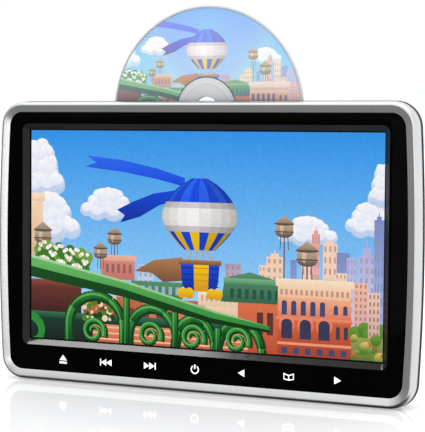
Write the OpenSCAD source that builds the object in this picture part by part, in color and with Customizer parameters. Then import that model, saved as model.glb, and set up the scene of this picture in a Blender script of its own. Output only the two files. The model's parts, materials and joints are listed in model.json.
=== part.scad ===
/* [Body] */
// Width at mid-height, over the bowed sides
body_w = 265.6; // [264:0.1:268]
// Height of the housing, without the disc
body_h = 168.7; // [168:0.1:171]
// Depth from the ridge of the trim frame to the back
body_d = 30; // [29.8:0.1:31]
// Corner radius of the trim frame
corner_r = 15; // [14:0.5:16]
// Radius of the outward bow of the left and right sides
bow_r = 1200; // [1000:50:2000]

/* [Screen] */
// Width of the lit picture
picture_w = 222.72; // [220:0.1:223]
// Height of the lit picture
picture_h = 125.28; // [124:0.1:126]
// Height of the picture's centre above the base
screen_z = 88.5; // [88:0.1:89]
// Depth of the glass behind the black face
screen_depth = 4; // [3.8:0.1:4]
// Dark border between the picture and the sloped surround
border = 0.9; // [0.5:0.1:1]
// Width of the sloped surround
surround_w = 2.9; // [2:0.1:3]

/* [Disc] */
// Radius of the disc
disc_r = 60; // [60:0.1:60.3]
// Thickness of the disc
disc_t = 1.2; // [1.1:0.1:1.3]
// Radius of the hole in the disc
disc_hole_r = 7.5; // [7.5:0.05:7.6]
// Height of the disc's centre, half way out of the slot
disc_z = 163.7; // [163.2:0.1:164.5]
// Height of the spindle, where a loaded disc turns
spindle_z = 95.5; // [95:0.1:95.5]

/* [Mounting] */
// Distance between the back inserts across
insert_dx = 38; // [36:1:40]
// Distance between the back inserts up and down
insert_dz = 30; // [28:1:32]
// Radius of the threaded hole in each insert
insert_hole_r = 1.65; // [1.6:0.05:1.7]

/* [Hidden] */
$fn = 48;
corner_steps = 8;
bow_steps = 6;

// Planes from the front of the housing to its back
front_y = -body_d / 2;
back_y = body_d / 2;
face_y = front_y + 0.9;
lip_y = front_y + 2.4;
glass_y = face_y + screen_depth;
bezel_y = glass_y - 0.3;
frame_y = front_y + 10.5;
shell_y = frame_y + 0.3;
lcd_y = glass_y + 5.1;
plate_y = lcd_y + 0.1;
plate_t = 0.6;
plate_back_y = plate_y + plate_t;
inner_y = back_y - 2;
board_y = 7.4;
board_t = 1.2;

// Trim frame: how far its ridge, its face edge and its inner wall stand in from the outline
ridge_in = 2.65;
face_in = 6.75;
wall_in = 2.2;
slit = 0.15;

// Screen window and display module
window_w = picture_w + 2 * border;
window_h = picture_h + 2 * border;
module_w = 235;
module_h = 143;
module_z = screen_z - picture_h / 2 - 6.2;

// Loading roller and the gears that turn it
tooth_m = 0.5;
roller_r = 3.2;
roller_y = disc_t / 2 + 0.3 + roller_r;
roller_z = 158;
shaft_r = 1.25;
run = 0.05;
roller_teeth = 16;
small_teeth = 12;
large_teeth = 24;
pinion_teeth = 10;
reduction_z = roller_z - (roller_teeth + small_teeth) * tooth_m / 2;
motor_z = reduction_z - (large_teeth + pinion_teeth) * tooth_m / 2;
gear_x = 66.2;
gear_t = 2;
large_x = gear_x + gear_t + 0.4;

// Drive tray, lifting deck and pickup
tray_w = 129.2;
tray_t = 0.8;
tray_x = tray_w / 2;
tray_y = 9.4;
tray_front_y = -3.4;
tray_low = 19;
tray_top = 163;
lift = 1.9;
deck_y = 7.6;
deck_t = 0.8;
deck_w = 66;
deck_low = 22;
deck_top = 112;
rod_x = 24;
rod_y = 5.2;
rod_r = 1.5;
lens_z = spindle_z - 24;
sled_low = lens_z - 9.5;
sled_top = lens_z + 12;
screw_x = 30;
screw_y = 4.9;
cam_travel = 7.6;
pin_y = 6.4;
pin_r = 0.9;
pin_heights = [40, 100];

// Posts, screws and dampers
post_x = 121.5;
case_zs = [14, 155];
plate_zs = [50, 120];
ear_zs = [44, 128];
ear_x = 70.7;

// Socket bays in the two sides of the rear cover
bay_x = 120.5;
bay_wall = 1.8;
bay_y0 = 0;
bay_y1 = 9.5;
bay_low = 64;
right_bay_top = 130;
left_bay_top = 118;
hdmi_z = 74.5;
usb_z = 92;
card_z = 112.5;
dc_z = 72;
audio_z = 85;
video_z = 96;
switch_z = 109;
jack_y = 4.2;
jack_r = 1.8;

// Speakers
speaker_x = 94;
speaker_z = 40;

// ---- Placing helpers ----

// Box between two corners
module block(low, high) {
    translate(low) cube(high - low);
}

// Flat shape drawn in X and Z, standing between two Y planes
module plate(front, back) {
    translate([0, back, 0]) rotate([90, 0, 0]) linear_extrude(back - front) children();
}

// Flat shape drawn in Y and Z, standing between two X planes
module slice(left, right) {
    translate([left, 0, 0]) rotate([90, 0, 90]) linear_extrude(right - left) children();
}

module along_x(left, right, y, z, r) {
    translate([left, y, z]) rotate([0, 90, 0]) cylinder(h = right - left, r = r);
}

module along_y(x, z, front, back, r) {
    translate([x, back, z]) rotate([90, 0, 0]) cylinder(h = back - front, r = r);
}

module along_z(x, y, low, high, r) {
    translate([x, y, low]) cylinder(h = high - low, r = r);
}

// Turned shape about a line parallel to Y: its outline is given as radius and Y
module turned_y(x, z) {
    translate([x, 0, z]) rotate([-90, 0, 0]) rotate_extrude() children();
}

// Turned shape about a line parallel to X: its outline is given as radius and X
module turned_x(y, z) {
    translate([0, y, z]) rotate([0, 90, 0]) rotate_extrude() children();
}

module both_sides() {
    children();
    mirror([1, 0, 0]) children();
}

module rounded_rect(w, h, r) {
    square([w - 2 * r, h], center = true);
    square([w, h - 2 * r], center = true);
    for (x = [-1, 1], z = [-1, 1]) translate([x * (w / 2 - r), z * (h / 2 - r)]) circle(r);
}

// Upright slot with round ends
module upright_slot(h, w) {
    square([w, h - w], center = true);
    for (z = [-1, 1]) translate([0, z * (h - w) / 2]) circle(w / 2);
}

// ---- Housing outline: straight top and bottom, bowed sides, round corners ----

function bow_angle(end, r) = asin((body_h / 2 - end - r) / (bow_r - r));
function corner_x(side, end, r) = body_w / 2 - side - bow_r + (bow_r - r) * cos(bow_angle(end, r));
function corner_angle(end, r, i) = bow_angle(end, r) + (90 - bow_angle(end, r)) * i / corner_steps;
function corner_arc(side, end, r) = [
    for (i = [0:corner_steps])
        let (a = corner_angle(end, r, i))
            [corner_x(side, end, r) + r * cos(a), body_h - end - r + r * sin(a)]
];
function side_arc(side, end, r) = [
    for (i = [1:bow_steps - 1])
        let (a = bow_angle(end, r) * (2 * i / bow_steps - 1))
            [body_w / 2 - side - bow_r + bow_r * cos(a), body_h / 2 + bow_r * sin(a)]
];
function upside_down(points) = [
    for (i = [len(points) - 1:-1:0]) [points[i].x, body_h - points[i].y]
];
function mirrored(points) = [
    for (i = [len(points) - 1:-1:0]) [-points[i].x, points[i].y]
];
function right_half(side, end, r) = concat(
    upside_down(corner_arc(side, end, r)), side_arc(side, end, r), corner_arc(side, end, r)
);
function outline(side, end, r) = concat(
    right_half(side, end, r), mirrored(right_half(side, end, r))
);

// Outline set in by the same amount all round
function inset(d) = outline(d, d, max(corner_r - d, 1));

// Solid through a list of sections, each [y, side inset, end inset, corner radius]
module loft(sections) {
    rings = [for (s = sections) [for (p = outline(s[1], s[2], s[3])) [p.x, s[0], p.y]]];
    n = len(rings[0]);
    last = (len(rings) - 1) * n;
    sides = [
        for (k = [0:len(rings) - 2], i = [0:n - 1])
            let (a = k * n + i, b = k * n + (i + 1) % n)
                each [[a, b, b + n], [a, b + n, a + n]]
    ];
    front = [for (i = [n - 1:-1:0]) i];
    back = [for (i = [0:n - 1]) last + i];
    polyhedron([for (ring = rings) each ring], concat([front], [back], sides));
}

// Section set in evenly, for the trim frame
function even(y, d) = [y, d, d, max(corner_r - d, 1)];

// ---- Trim frame and front ----

module silver_frame() {
    ridge_flat = 0.15;
    slope_in = ridge_in + ridge_flat;
    lip_in = slope_in - (face_in - slope_in) * 0.2 / (face_y - front_y);
    color("silver") difference() {
        loft([
            even(front_y, ridge_in), even(front_y + 0.3, 1.95), even(front_y + 1, 1.15),
            even(front_y + 2, 0.55), even(front_y + 3, 0.2), even(front_y + 5, 0), even(frame_y, 0)
        ]);
        loft([
            even(front_y - 0.2, lip_in), even(face_y, face_in), even(lip_y, face_in),
            even(lip_y, wall_in), even(frame_y + 0.5, wall_in)
        ]);
    }
}

module window_opening() {
    grow = 2 * surround_w + 0.6 * surround_w / 3.1;
    translate([0, 0, screen_z]) {
        hull() {
            plate(face_y - 0.3, face_y - 0.29)
                rounded_rect(window_w + grow, window_h + grow, 4.2);
            plate(face_y + 3.09, face_y + 3.1) rounded_rect(window_w, window_h, 1);
        }
        plate(face_y + 3, bezel_y + 0.5) rounded_rect(window_w, window_h, 1);
    }
}

module bezel_posts(r, back) {
    both_sides() for (z = concat(case_zs, plate_zs)) along_y(post_x, z, bezel_y - 0.5, back, r);
}

module front_bezel() {
    flange_y = lip_y + 0.3;
    color([0.02, 0.02, 0.02]) difference() {
        union() {
            plate(face_y, flange_y) polygon(inset(face_in + slit));
            plate(flange_y, bezel_y) polygon(inset(wall_in + 0.3));
            bezel_posts(3, lcd_y + 0.05);
        }
        window_opening();
        both_sides() {
            for (z = case_zs) along_y(post_x, z, bezel_y - 1, 0, 1.35);
            for (z = plate_zs) along_y(post_x, z, bezel_y - 1, 0, 1.05);
        }
    }
}

// ---- Rear cover ----

function side_in(y) = 1.2 + 0.45 * (y - shell_y);
function end_in(y) = 1 + 0.04 * (y - shell_y);

// Rounding of the rear edges: a quarter turn that ends on the back
function rear_sections(round_r, side_more, end_more, back) = [
    for (t = [0:15:90])
        let (y = back - round_r + round_r * sin(t), in = round_r * (1 - cos(t)))
            [y, side_in(y) + side_more + in, end_in(y) + end_more + in, 12 - 5 * (1 - cos(t))]
];

module rear_outside() {
    loft(concat([[shell_y, side_in(shell_y), end_in(shell_y), 13.5]], rear_sections(6, 0, 0, back_y)));
}

module rear_inside() {
    start = shell_y - 0.1;
    front = [[start, side_in(start) + 2.4, end_in(start) + 2, 11.5]];
    loft(concat(front, rear_sections(5, 2.4, 2, inner_y)));
}

module joint_tongue() {
    difference() {
        plate(shell_y - 2.8, shell_y + 0.7) polygon(inset(wall_in + 0.3));
        plate(shell_y - 3, shell_y + 1) polygon(inset(wall_in + 1.4));
    }
}

module bay(x, top, grow) {
    block([x, bay_y0 - grow, bay_low - grow], [x + 30, bay_y1 + grow, top + grow]);
}

// What stands inside the hollow of the rear cover
module cover_inner_parts() {
    bay(bay_x - bay_wall, right_bay_top, bay_wall);
    mirror([1, 0, 0]) bay(bay_x - bay_wall, left_bay_top, bay_wall);
    both_sides() for (z = case_zs) along_y(post_x, z, shell_y - 1, back_y, 4);
    for (x = [-1, 1], z = [-1, 1])
        along_y(x * insert_dx / 2, body_h / 2 + z * insert_dz / 2, inner_y - 2.2, back_y, 4.4);
    for (p = board_screw_places()) along_y(p.x, p.y, board_y + board_t, back_y, 2.4);
}

function board_screw_places() = [[76, 68], [113, 128], [-84, 68], [-107, 114], [-84, 114]];

module cover_cuts() {
    recess_y = back_y - 0.6;
    // Slot that the disc goes through
    block([-62, -1.9, 155], [62, 1.9, body_h + 5]);
    // Shallow seat round the back inserts
    translate([0, 0, body_h / 2]) plate(recess_y, back_y + 1)
        rounded_rect(insert_dx + 22, insert_dz + 22, 5);
    for (x = [-1, 1], z = [-1, 1])
        along_y(x * insert_dx / 2, body_h / 2 + z * insert_dz / 2, recess_y - 4, back_y + 1, 2.82);
    // Case screw wells
    both_sides() for (z = case_zs) {
        along_y(post_x, z, -1.5, back_y + 1, 2.9);
        along_y(post_x, z, shell_y - 2, 0, 1.5);
    }
    for (p = board_screw_places()) along_y(p.x, p.y, board_y, inner_y, 0.85);
    // Speaker grilles
    both_sides() for (i = [-4:4])
        translate([speaker_x + i * 3, 0, speaker_z])
            plate(inner_y - 1, back_y + 1) upright_slot(24 - abs(i) * abs(i) * 0.9, 1.5);
    // Cooling slots behind the boards
    both_sides() for (i = [0:7])
        translate([80 + i * 4, 0, 116]) plate(inner_y - 1, back_y + 1) upright_slot(16, 1.5);
    // Feet
    both_sides() block([59.8, 0.8, -1], [100.2, 7.7, 2.1]);
    // Socket mouths
    socket_mouth(bay_x, hdmi_z, 15.6, 1.2, 7.2);
    socket_mouth(bay_x, usb_z, 13.6, 1.2, 7.2);
    socket_mouth(bay_x, card_z, 26.6, 3.4, 6.8);
    mirror([1, 0, 0]) {
        socket_mouth(bay_x, dc_z, 9.6, 0.3, 7.6);
        for (z = [audio_z, video_z]) along_x(bay_x - 4, bay_x + 4, jack_y, z, 3.2);
        socket_mouth(bay_x, switch_z, 7, 2.8, 5.8);
    }
}

module socket_mouth(x, z, w, y0, y1) {
    block([x - 4, y0, z - w / 2], [x + 4, y1, z + w / 2]);
}

module rear_cover() {
    color([0.07, 0.07, 0.08]) {
        difference() {
            rear_outside();
            difference() {
                rear_inside();
                cover_inner_parts();
            }
            bay(bay_x, right_bay_top, 0);
            mirror([1, 0, 0]) bay(bay_x, left_bay_top, 0);
            cover_cuts();
        }
        joint_tongue();
    }
}

// ---- Display ----

// Block that fills the display module's inside between two depths
module module_fill(front, back) {
    w = module_w / 2 - 0.7;
    block([-w, front, module_z + 0.7], [w, back, module_z + module_h - 0.7]);
}

module lcd_frame() {
    color([0.6, 0.62, 0.65]) difference() {
        block([-module_w / 2, glass_y - 0.25, module_z], [module_w / 2, lcd_y, module_z + module_h]);
        block(
            [-module_w / 2 + 0.4, glass_y - 0.02, module_z + 0.4],
            [module_w / 2 - 0.4, lcd_y - 0.3, module_z + module_h - 0.4]
        );
        translate([0, 0, screen_z]) plate(glass_y - 1, glass_y + 1)
            square([window_w + 0.6, window_h + 0.6], center = true);
    }
}

module lcd_glass() {
    color([0.1, 0.2, 0.35])
        module_fill(glass_y, glass_y + 1.6);
}

module lcd_backlight() {
    color("white")
        module_fill(glass_y + 1.7, lcd_y - 0.35);
}

module chassis_plate() {
    color([0.72, 0.73, 0.75]) difference() {
        block([-124.5, plate_y, 9], [124.5, plate_back_y, 161]);
        both_sides() {
            for (z = case_zs) along_y(post_x, z, plate_y - 1, plate_back_y + 1, 4.6);
            for (z = plate_zs) along_y(post_x, z, plate_y - 1, plate_back_y + 1, 1.1);
            for (z = ear_zs) along_y(ear_x, z, plate_y - 1, plate_back_y + 1, 1.35);
        }
        block([86, plate_y - 1, 133], [108, plate_back_y + 1, 135]);
    }
}

// ---- Boards and sockets ----

module touch_board() {
    color("darkgreen") block([-95, bezel_y + 0.2, 7.5], [95, bezel_y + 1, 19]);
}

module touch_pads() {
    color("goldenrod") for (i = [-3:3])
        along_y(i * 29, screen_z - 74.15, bezel_y + 0.02, bezel_y + 0.2, 4.2);
}

module ir_receiver() {
    color([0.1, 0.05, 0.08]) {
        block([100, bezel_y + 0.2, 9], [106, bezel_y + 3.2, 17]);
        along_y(103, 13, bezel_y + 0.02, bezel_y + 0.5, 2.2);
    }
}

module main_board() {
    color("darkgreen") difference() {
        block([72, board_y, bay_low], [118.2, board_y + board_t, 132]);
        for (p = board_screw_places()) if (p.x > 0) along_y(p.x, p.y, board_y - 1, board_y + 3, 1.2);
    }
}

module main_chips() {
    color([0.08, 0.08, 0.09]) {
        block([82, board_y - 1.4, 88], [97, board_y, 103]);
        block([83, board_y - 1, 107], [93, board_y, 115]);
        block([82, board_y - 1, 74], [90, board_y, 82]);
        block([88, board_y - 1.6, 127], [106, board_y, 130]);
        block([72.5, board_y - 3.1, 70], [78, board_y, 73]);
    }
}

module heatsink() {
    top = board_y - 1.45;
    color("lightgray") {
        block([82, top - 1, 88], [97, top, 103]);
        for (i = [0:4]) block([82 + i * 3.45, top - 5, 88], [83.2 + i * 3.45, top - 1, 103]);
    }
}

module capacitors() {
    color([0.15, 0.15, 0.3]) {
        for (z = [119, 126]) along_y(80, z, board_y - 6, board_y, 2.9);
        for (z = [80, 88]) along_y(-88, z, board_y - 6, board_y, 2.9);
        block([-104, board_y - 3, 98], [-94, board_y, 108]);
    }
}

// Sheet-metal socket with its mouth to the right and a tongue inside
module sheet_socket(z, w, y0, tongue_y, depth) {
    difference() {
        block([bay_x - depth, y0, z - w / 2], [bay_x - 0.2, board_y - 0.4, z + w / 2]);
        block([bay_x - depth + 2, y0 + 0.4, z - w / 2 + 0.4], [bay_x + 1, board_y - 0.8, z + w / 2 - 0.4]);
    }
    block([bay_x - depth + 1, tongue_y, z - w / 2 + 2], [bay_x - 1.5, tongue_y + 1, z + w / 2 - 2]);
    block([bay_x - depth, board_y - 1, z - w / 2 + 1], [bay_x - 4.5, board_y, z + w / 2 - 1]);
}

module hdmi_socket() {
    color("gainsboro") sheet_socket(hdmi_z, 15, 1.6, 3.6, 12);
}

module usb_socket() {
    color("gainsboro") sheet_socket(usb_z, 13, 1.6, 4.6, 14);
}

module card_socket() {
    color("gainsboro") {
        difference() {
            block([bay_x - 20, 3.7, card_z - 13], [bay_x - 0.2, 6.5, card_z + 13]);
            block([bay_x - 19, 4, card_z - 12.2], [bay_x + 1, 6.2, card_z + 12.2]);
        }
        block([bay_x - 20, 6.4, card_z - 7], [bay_x - 4.5, board_y, card_z + 7]);
    }
}

module power_board() {
    color("darkgreen") difference() {
        block([-118.2, board_y, bay_low], [-78, board_y + board_t, 118]);
        for (p = board_screw_places()) if (p.x < 0) along_y(p.x, p.y, board_y - 1, board_y + 3, 1.2);
    }
}

module dc_inlet() {
    color([0.1, 0.1, 0.1]) mirror([1, 0, 0]) {
        difference() {
            block([bay_x - 13, 0.6, dc_z - 4.5], [bay_x - 0.2, board_y, dc_z + 4.5]);
            along_x(bay_x - 10, bay_x + 1, 4, dc_z, 2.75);
        }
        along_x(bay_x - 11, bay_x - 1, 4, dc_z, 1);
    }
}

// Round socket with its mouth to the left
module round_jack(z) {
    mirror([1, 0, 0]) difference() {
        union() {
            block([bay_x - 15, jack_y - 3, z - 3.5], [bay_x - bay_wall - 0.2, board_y, z + 3.5]);
            along_x(bay_x - 6, bay_x - 0.2, jack_y, z, 3);
        }
        along_x(bay_x - 14, bay_x + 1, jack_y, z, jack_r);
    }
}

module headphone_jack() {
    color([0.1, 0.1, 0.1]) round_jack(audio_z);
}

module av_jack() {
    color("gold") round_jack(video_z);
}

module switch_body() {
    color([0.7, 0.7, 0.72]) mirror([1, 0, 0]) difference() {
        block([bay_x - 7.5, 2, switch_z - 5], [bay_x - bay_wall - 0.2, board_y, switch_z + 5]);
        block([bay_x - 5.5, 2.9, switch_z - 3.4], [bay_x, 5.7, switch_z + 3.4]);
    }
}

module switch_knob() {
    color([0.05, 0.05, 0.05]) mirror([1, 0, 0]) {
        block([bay_x - 5, 3.1, switch_z - 3.1], [bay_x - 3.2, 5.5, switch_z + 0.4]);
        block([bay_x - 3.3, 3.3, switch_z - 2.9], [bay_x + 2, 5.3, switch_z + 0.2]);
    }
}

// ---- Sound ----

module speaker_frames() {
    color([0.2, 0.2, 0.22]) both_sides() turned_y(speaker_x, speaker_z) polygon([
        [0, 5.5], [8, 5.5], [8, 7.8], [12.8, 7.8], [12.8, 11.6], [15, 11.6], [15, 12.8],
        [12, 12.8], [12, 8.6], [0, 8.6]
    ]);
}

module speaker_cones() {
    color([0.12, 0.12, 0.13]) both_sides() turned_y(speaker_x, speaker_z) polygon([
        [0, 10.6], [2.4, 10.2], [4, 9.3], [11.8, 12.1], [11.8, 12.5], [4, 9.9], [2.4, 10.7], [0, 11.1]
    ]);
}

// ---- Disc drive: fixed parts ----

module drive_tray() {
    back = tray_y + tray_t;
    color([0.75, 0.76, 0.78]) difference() {
        union() {
            block([-tray_x - tray_t, tray_y, tray_low], [tray_x + tray_t, back, tray_top]);
            block([-tray_x - tray_t, tray_front_y, tray_low], [tray_x + tray_t, back, tray_low + tray_t]);
            both_sides() {
                block([tray_x, tray_front_y, tray_low], [tray_x + tray_t, back, tray_top]);
                for (z = ear_zs) block([tray_x, -1.4, z - 5], [ear_x + 5.3, -0.6, z + 5]);
            }
            for (p = [[-30, 26], [-30, 106], [30, 106]]) along_y(p.x, p.y, 3, back, 1.3);
            block([34.9, 8.2, 25], [35.7, back, 125]);
            block([37.3, 8.2, 25], [38.1, back, 125]);
        }
        both_sides() {
            along_x(tray_x - 1, tray_x + 2, roller_y, roller_z, 2.42);
            for (z = ear_zs) along_y(ear_x, z, -2, 0, 3.05);
        }
        along_x(tray_x - 1, tray_x + 2, roller_y, reduction_z, 1.01);
        translate([0, 0, 58]) plate(tray_y - 1, back + 1) rounded_rect(44, 40, 4);
    }
}

module drive_cover() {
    color([0.78, 0.79, 0.8]) difference() {
        block([-tray_x - tray_t, -3.9, tray_low], [tray_x + tray_t, -3.5, tray_top]);
        along_y(0, spindle_z, -5, 0, 10);
        both_sides() translate([34, 0, 60]) plate(-5, 0) rounded_rect(30, 50, 4);
    }
}

module disc_guide() {
    color([0.12, 0.12, 0.13]) {
        block([-tray_x + 0.2, -3.2, 156], [tray_x - 0.2, -1.4, 163]);
        both_sides() block([50, -1.5, 156], [tray_x - 0.2, -1, 163]);
    }
}

module slot_felt() {
    color([0.03, 0.03, 0.03]) for (side = [-1, 1])
        block([-61.8, side * 1.4 - 0.45, 165.7], [61.8, side * 1.4 + 0.45, 167.3]);
}

module roller_bushes() {
    color("ivory") both_sides() difference() {
        union() {
            along_x(tray_x - 0.6, tray_x + tray_t, roller_y, roller_z, 2.4);
            along_x(tray_x - 0.7, tray_x - 0.05, roller_y, roller_z, 3.3);
        }
        along_x(tray_x - 2, tray_x + 2, roller_y, roller_z, shaft_r + run);
    }
}

module gear_pin() {
    color("silver") along_x(tray_x - 0.4, large_x + gear_t + 0.4, roller_y, reduction_z, 1);
}

module loading_motor() {
    left = 73.2;
    color([0.65, 0.66, 0.68]) difference() {
        union() {
            along_x(left, left + 17, roller_y, motor_z, 6);
            along_x(left + 17, left + 18.5, roller_y, motor_z, 2.5);
        }
        along_x(left - 1, left + 4, roller_y, motor_z, 0.85);
    }
}

module motor_bracket() {
    color([0.7, 0.71, 0.73]) {
        difference() {
            block([72.3, roller_y - 6.3, motor_z - 7], [73.1, tray_y + tray_t, motor_z + 7]);
            along_x(70, 75, roller_y, motor_z, 1.6);
        }
        block([tray_x + tray_t, tray_y, motor_z - 7], [72.5, tray_y + tray_t, motor_z - 3.5]);
    }
}

module drive_dampers() {
    color([0.15, 0.15, 0.16]) both_sides() for (z = ear_zs) turned_y(ear_x, z) polygon([
        [1.4, plate_back_y], [4.4, plate_back_y], [4.4, -1.45], [3, -1.45], [3, -0.55],
        [4.4, -0.55], [4.4, 1.6], [1.4, 1.6]
    ]);
}

module flat_screw(x, z, head_y, head_h, head_r, tip_y, r) {
    difference() {
        union() {
            along_y(x, z, head_y, head_y + head_h, head_r);
            along_y(x, z, tip_y, head_y + 0.1, r);
        }
        for (turn = [0, 90]) translate([x, head_y + head_h, z]) rotate([0, turn, 0])
            cube([head_r * 1.2, head_h, head_r * 0.3], center = true);
    }
}

module drive_screws() {
    color("silver") both_sides() for (z = ear_zs) flat_screw(ear_x, z, 1.6, 1.2, 3.2, plate_y, 1.3);
}

module case_screws() {
    color("dimgray") both_sides() for (z = case_zs)
        flat_screw(post_x, z, -1.5, 1.6, 2.5, bezel_y - 0.5, 1.3);
}

module chassis_screws() {
    color("silver") both_sides() for (z = plate_zs)
        flat_screw(post_x, z, plate_back_y, 1.2, 2.2, bezel_y - 0.5, 1);
}

module board_screws() {
    color("silver") for (p = board_screw_places()) mirror([0, 1, 0])
        flat_screw(p.x, p.y, -board_y, 1, 1.9, -board_y - 5, 0.8);
}

module threaded_inserts() {
    recess_y = back_y - 0.6;
    color("darkgoldenrod") for (x = [-1, 1], z = [-1, 1]) difference() {
        along_y(x * insert_dx / 2, body_h / 2 + z * insert_dz / 2, recess_y - 3.9, recess_y, 2.8);
        along_y(x * insert_dx / 2, body_h / 2 + z * insert_dz / 2, recess_y - 5, back_y, insert_hole_r);
    }
}

module rubber_feet() {
    color([0.1, 0.1, 0.1]) both_sides() difference() {
        block([60, 1, 0], [100, 7.5, 2.05]);
        for (i = [1:7]) block([60 + i * 5 - 0.4, 0, -1], [60 + i * 5 + 0.4, 8, 0.3]);
    }
}

module lcd_ribbon() {
    color("orange") {
        block([88, lcd_y + 0.02, 133.7], [106, board_y - 1.6, 133.9]);
        block([88, board_y - 1.8, 127.2], [106, board_y - 1.6, 133.9]);
    }
}

module touch_ribbon() {
    color("orange") {
        block([72.5, bezel_y + 1, 6.6], [78, bezel_y + 1.2, 12]);
        block([72.5, bezel_y + 1, 6.6], [78, 4.2, 6.8]);
        block([72.5, 4, 6.6], [78, 4.2, 72.8]);
    }
}

// ---- Disc and its drive ----

module disc() {
    color([0.85, 0.88, 0.9]) difference() {
        along_y(0, disc_z, -disc_t / 2, disc_t / 2, disc_r);
        along_y(0, disc_z, -disc_t, disc_t, disc_hole_r);
    }
}

// Rubber roller, thinner in the middle so that only the disc's edges touch it
module loading_roller() {
    half = 61.5;
    color([0.1, 0.1, 0.1]) turned_x(roller_y, roller_z) polygon([
        [shaft_r + 0.01, -half], [roller_r, -half], [roller_r - 0.6, 0], [roller_r, half],
        [shaft_r + 0.01, half]
    ]);
}

module roller_shaft() {
    color("silver") along_x(-tray_x - 2.5, large_x - 0.2, roller_y, roller_z, shaft_r);
}

function involute(base, t) = [
    base * (cos(t) + t * PI / 180 * sin(t)), base * (sin(t) - t * PI / 180 * cos(t))
];
function spin(p, a) = [p.x * cos(a) - p.y * sin(a), p.x * sin(a) + p.y * cos(a)];
function roll_to(base, r) = sqrt(max(pow(r / base, 2) - 1, 0)) * 180 / PI;
function pressure_shift(base, r) = roll_to(base, r) - acos(base / r);

// Spur gear outline: involute flanks, short teeth and a little backlash
function gear_points(teeth) =
    let (
        pitch = teeth * tooth_m / 2,
        base = pitch * cos(20),
        tip = pitch + 0.8 * tooth_m,
        root = pitch - 1.1 * tooth_m,
        start = max(base, root),
        half = 90 / teeth - 4 / teeth + pressure_shift(base, pitch),
        flank = [for (k = [0:4]) involute(base, roll_to(base, start + (tip - start) * k / 4))]
    )
    [
        for (i = [0:teeth - 1]) let (a = i * 360 / teeth) each concat(
            [spin([root, 0], a - half)],
            [for (p = flank) spin(p, a - half)],
            [for (k = [4:-1:0]) spin([flank[k].x, -flank[k].y], a + half)],
            [spin([root, 0], a + half)]
        )
    ];

// Gear about a line parallel to X, turned by an angle
module gear_x_axis(teeth, left, t, z, turn) {
    translate([left, roller_y, z]) rotate([turn, 0, 0]) rotate([90, 0, 90])
        linear_extrude(t) polygon(gear_points(teeth));
}

module roller_gear() {
    color("white") difference() {
        union() {
            gear_x_axis(roller_teeth, gear_x, gear_t, roller_z, -90);
            along_x(gear_x - 0.4, gear_x + 0.1, roller_y, roller_z, 2.2);
        }
        along_x(gear_x - 2, gear_x + 4, roller_y, roller_z, shaft_r + 0.01);
    }
}

module reduction_gear() {
    color("white") difference() {
        union() {
            gear_x_axis(small_teeth, gear_x, gear_t + 0.5, reduction_z, 90 + 180 / small_teeth);
            gear_x_axis(large_teeth, large_x, gear_t, reduction_z, -90);
        }
        along_x(gear_x - 2, large_x + 6, roller_y, reduction_z, 1 + run);
    }
}

module motor_pinion() {
    color("gold") {
        gear_x_axis(pinion_teeth, large_x, gear_t, motor_z, 90 + 180 / pinion_teeth);
        along_x(large_x + gear_t - 0.1, 76, roller_y, motor_z, 0.75);
    }
}

module traverse_deck() {
    color([0.3, 0.31, 0.33]) difference() {
        union() {
            block([-deck_w / 2, deck_y, deck_low], [deck_w / 2, deck_y + deck_t, deck_top]);
            both_sides() for (z = [deck_low, 88.5])
                block([rod_x - 3, 3.4, z], [rod_x + 3, deck_y + 0.2, z + 2.5]);
            block([screw_x - 2.5, 3.4, 86.6], [screw_x + 2.5, deck_y + 0.2, 88.6]);
            for (z = pin_heights) {
                block([deck_w / 2 - 0.8, 5, z - 4], [deck_w / 2, deck_y + deck_t, z + 4]);
                along_x(deck_w / 2 - 0.4, 37.6, pin_y, z, pin_r);
            }
        }
        block([-20.5, deck_y - 1, 27], [20.5, deck_y + 2, 84.2]);
        for (p = [[-30, 26], [-30, 106], [30, 106]]) along_y(p.x, p.y, deck_y - 1, deck_y + 2, 1.4);
        for (x = [-rod_x, rod_x]) along_z(x, rod_y, deck_low + 0.4, 90.6, rod_r + 0.02);
        along_z(screw_x, screw_y, 86, 88, 0.75);
    }
}

module guide_rods() {
    color("silver") both_sides() along_z(rod_x, rod_y, deck_low + 0.5, 90.5, rod_r);
}

module spindle_stator() {
    color("sienna") difference() {
        union() {
            along_y(0, spindle_z, 6.8, deck_y - 0.02, 10);
            along_y(0, spindle_z, 4.7, 6.9, 4);
            for (a = [0:40:320])
                translate([0, 0, spindle_z]) rotate([0, a, 0]) block([0, 4.9, -1], [7.6, 6.4, 1]);
        }
        along_y(0, spindle_z, 4, 9, 0.8);
    }
}

module sled_motor() {
    color([0.6, 0.6, 0.62]) difference() {
        along_z(screw_x, screw_y, deck_low + 2.5, 36, 2.65);
        along_z(screw_x, screw_y, 30, 37, 0.65);
    }
}

module turntable() {
    color([0.16, 0.16, 0.17]) turned_y(0, spindle_z) polygon([
        [0, 1.2], [6.6, 1.2], [7.3, 1.9], [7.3, 2.7], [14.5, 2.7], [14.5, 3.1], [10.5, 3.1],
        [10.5, 6.5], [9.6, 6.5], [9.6, 3.9], [0.75, 3.9], [0.75, 7.4], [0, 7.4]
    ]);
}

module turntable_pad() {
    color([0.05, 0.05, 0.05]) turned_y(0, spindle_z)
        polygon([[9, 2.55], [14.3, 2.55], [14.3, 2.7], [9, 2.7]]);
}

module clamper() {
    color([0.9, 0.9, 0.88]) turned_y(0, spindle_z) polygon([
        [0, -3.7], [9.6, -3.7], [9.6, -2.6], [13.5, -2.6], [13.5, -0.9], [7.6, -0.9], [7.6, -1.4], [0, -1.4]
    ]);
}

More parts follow.
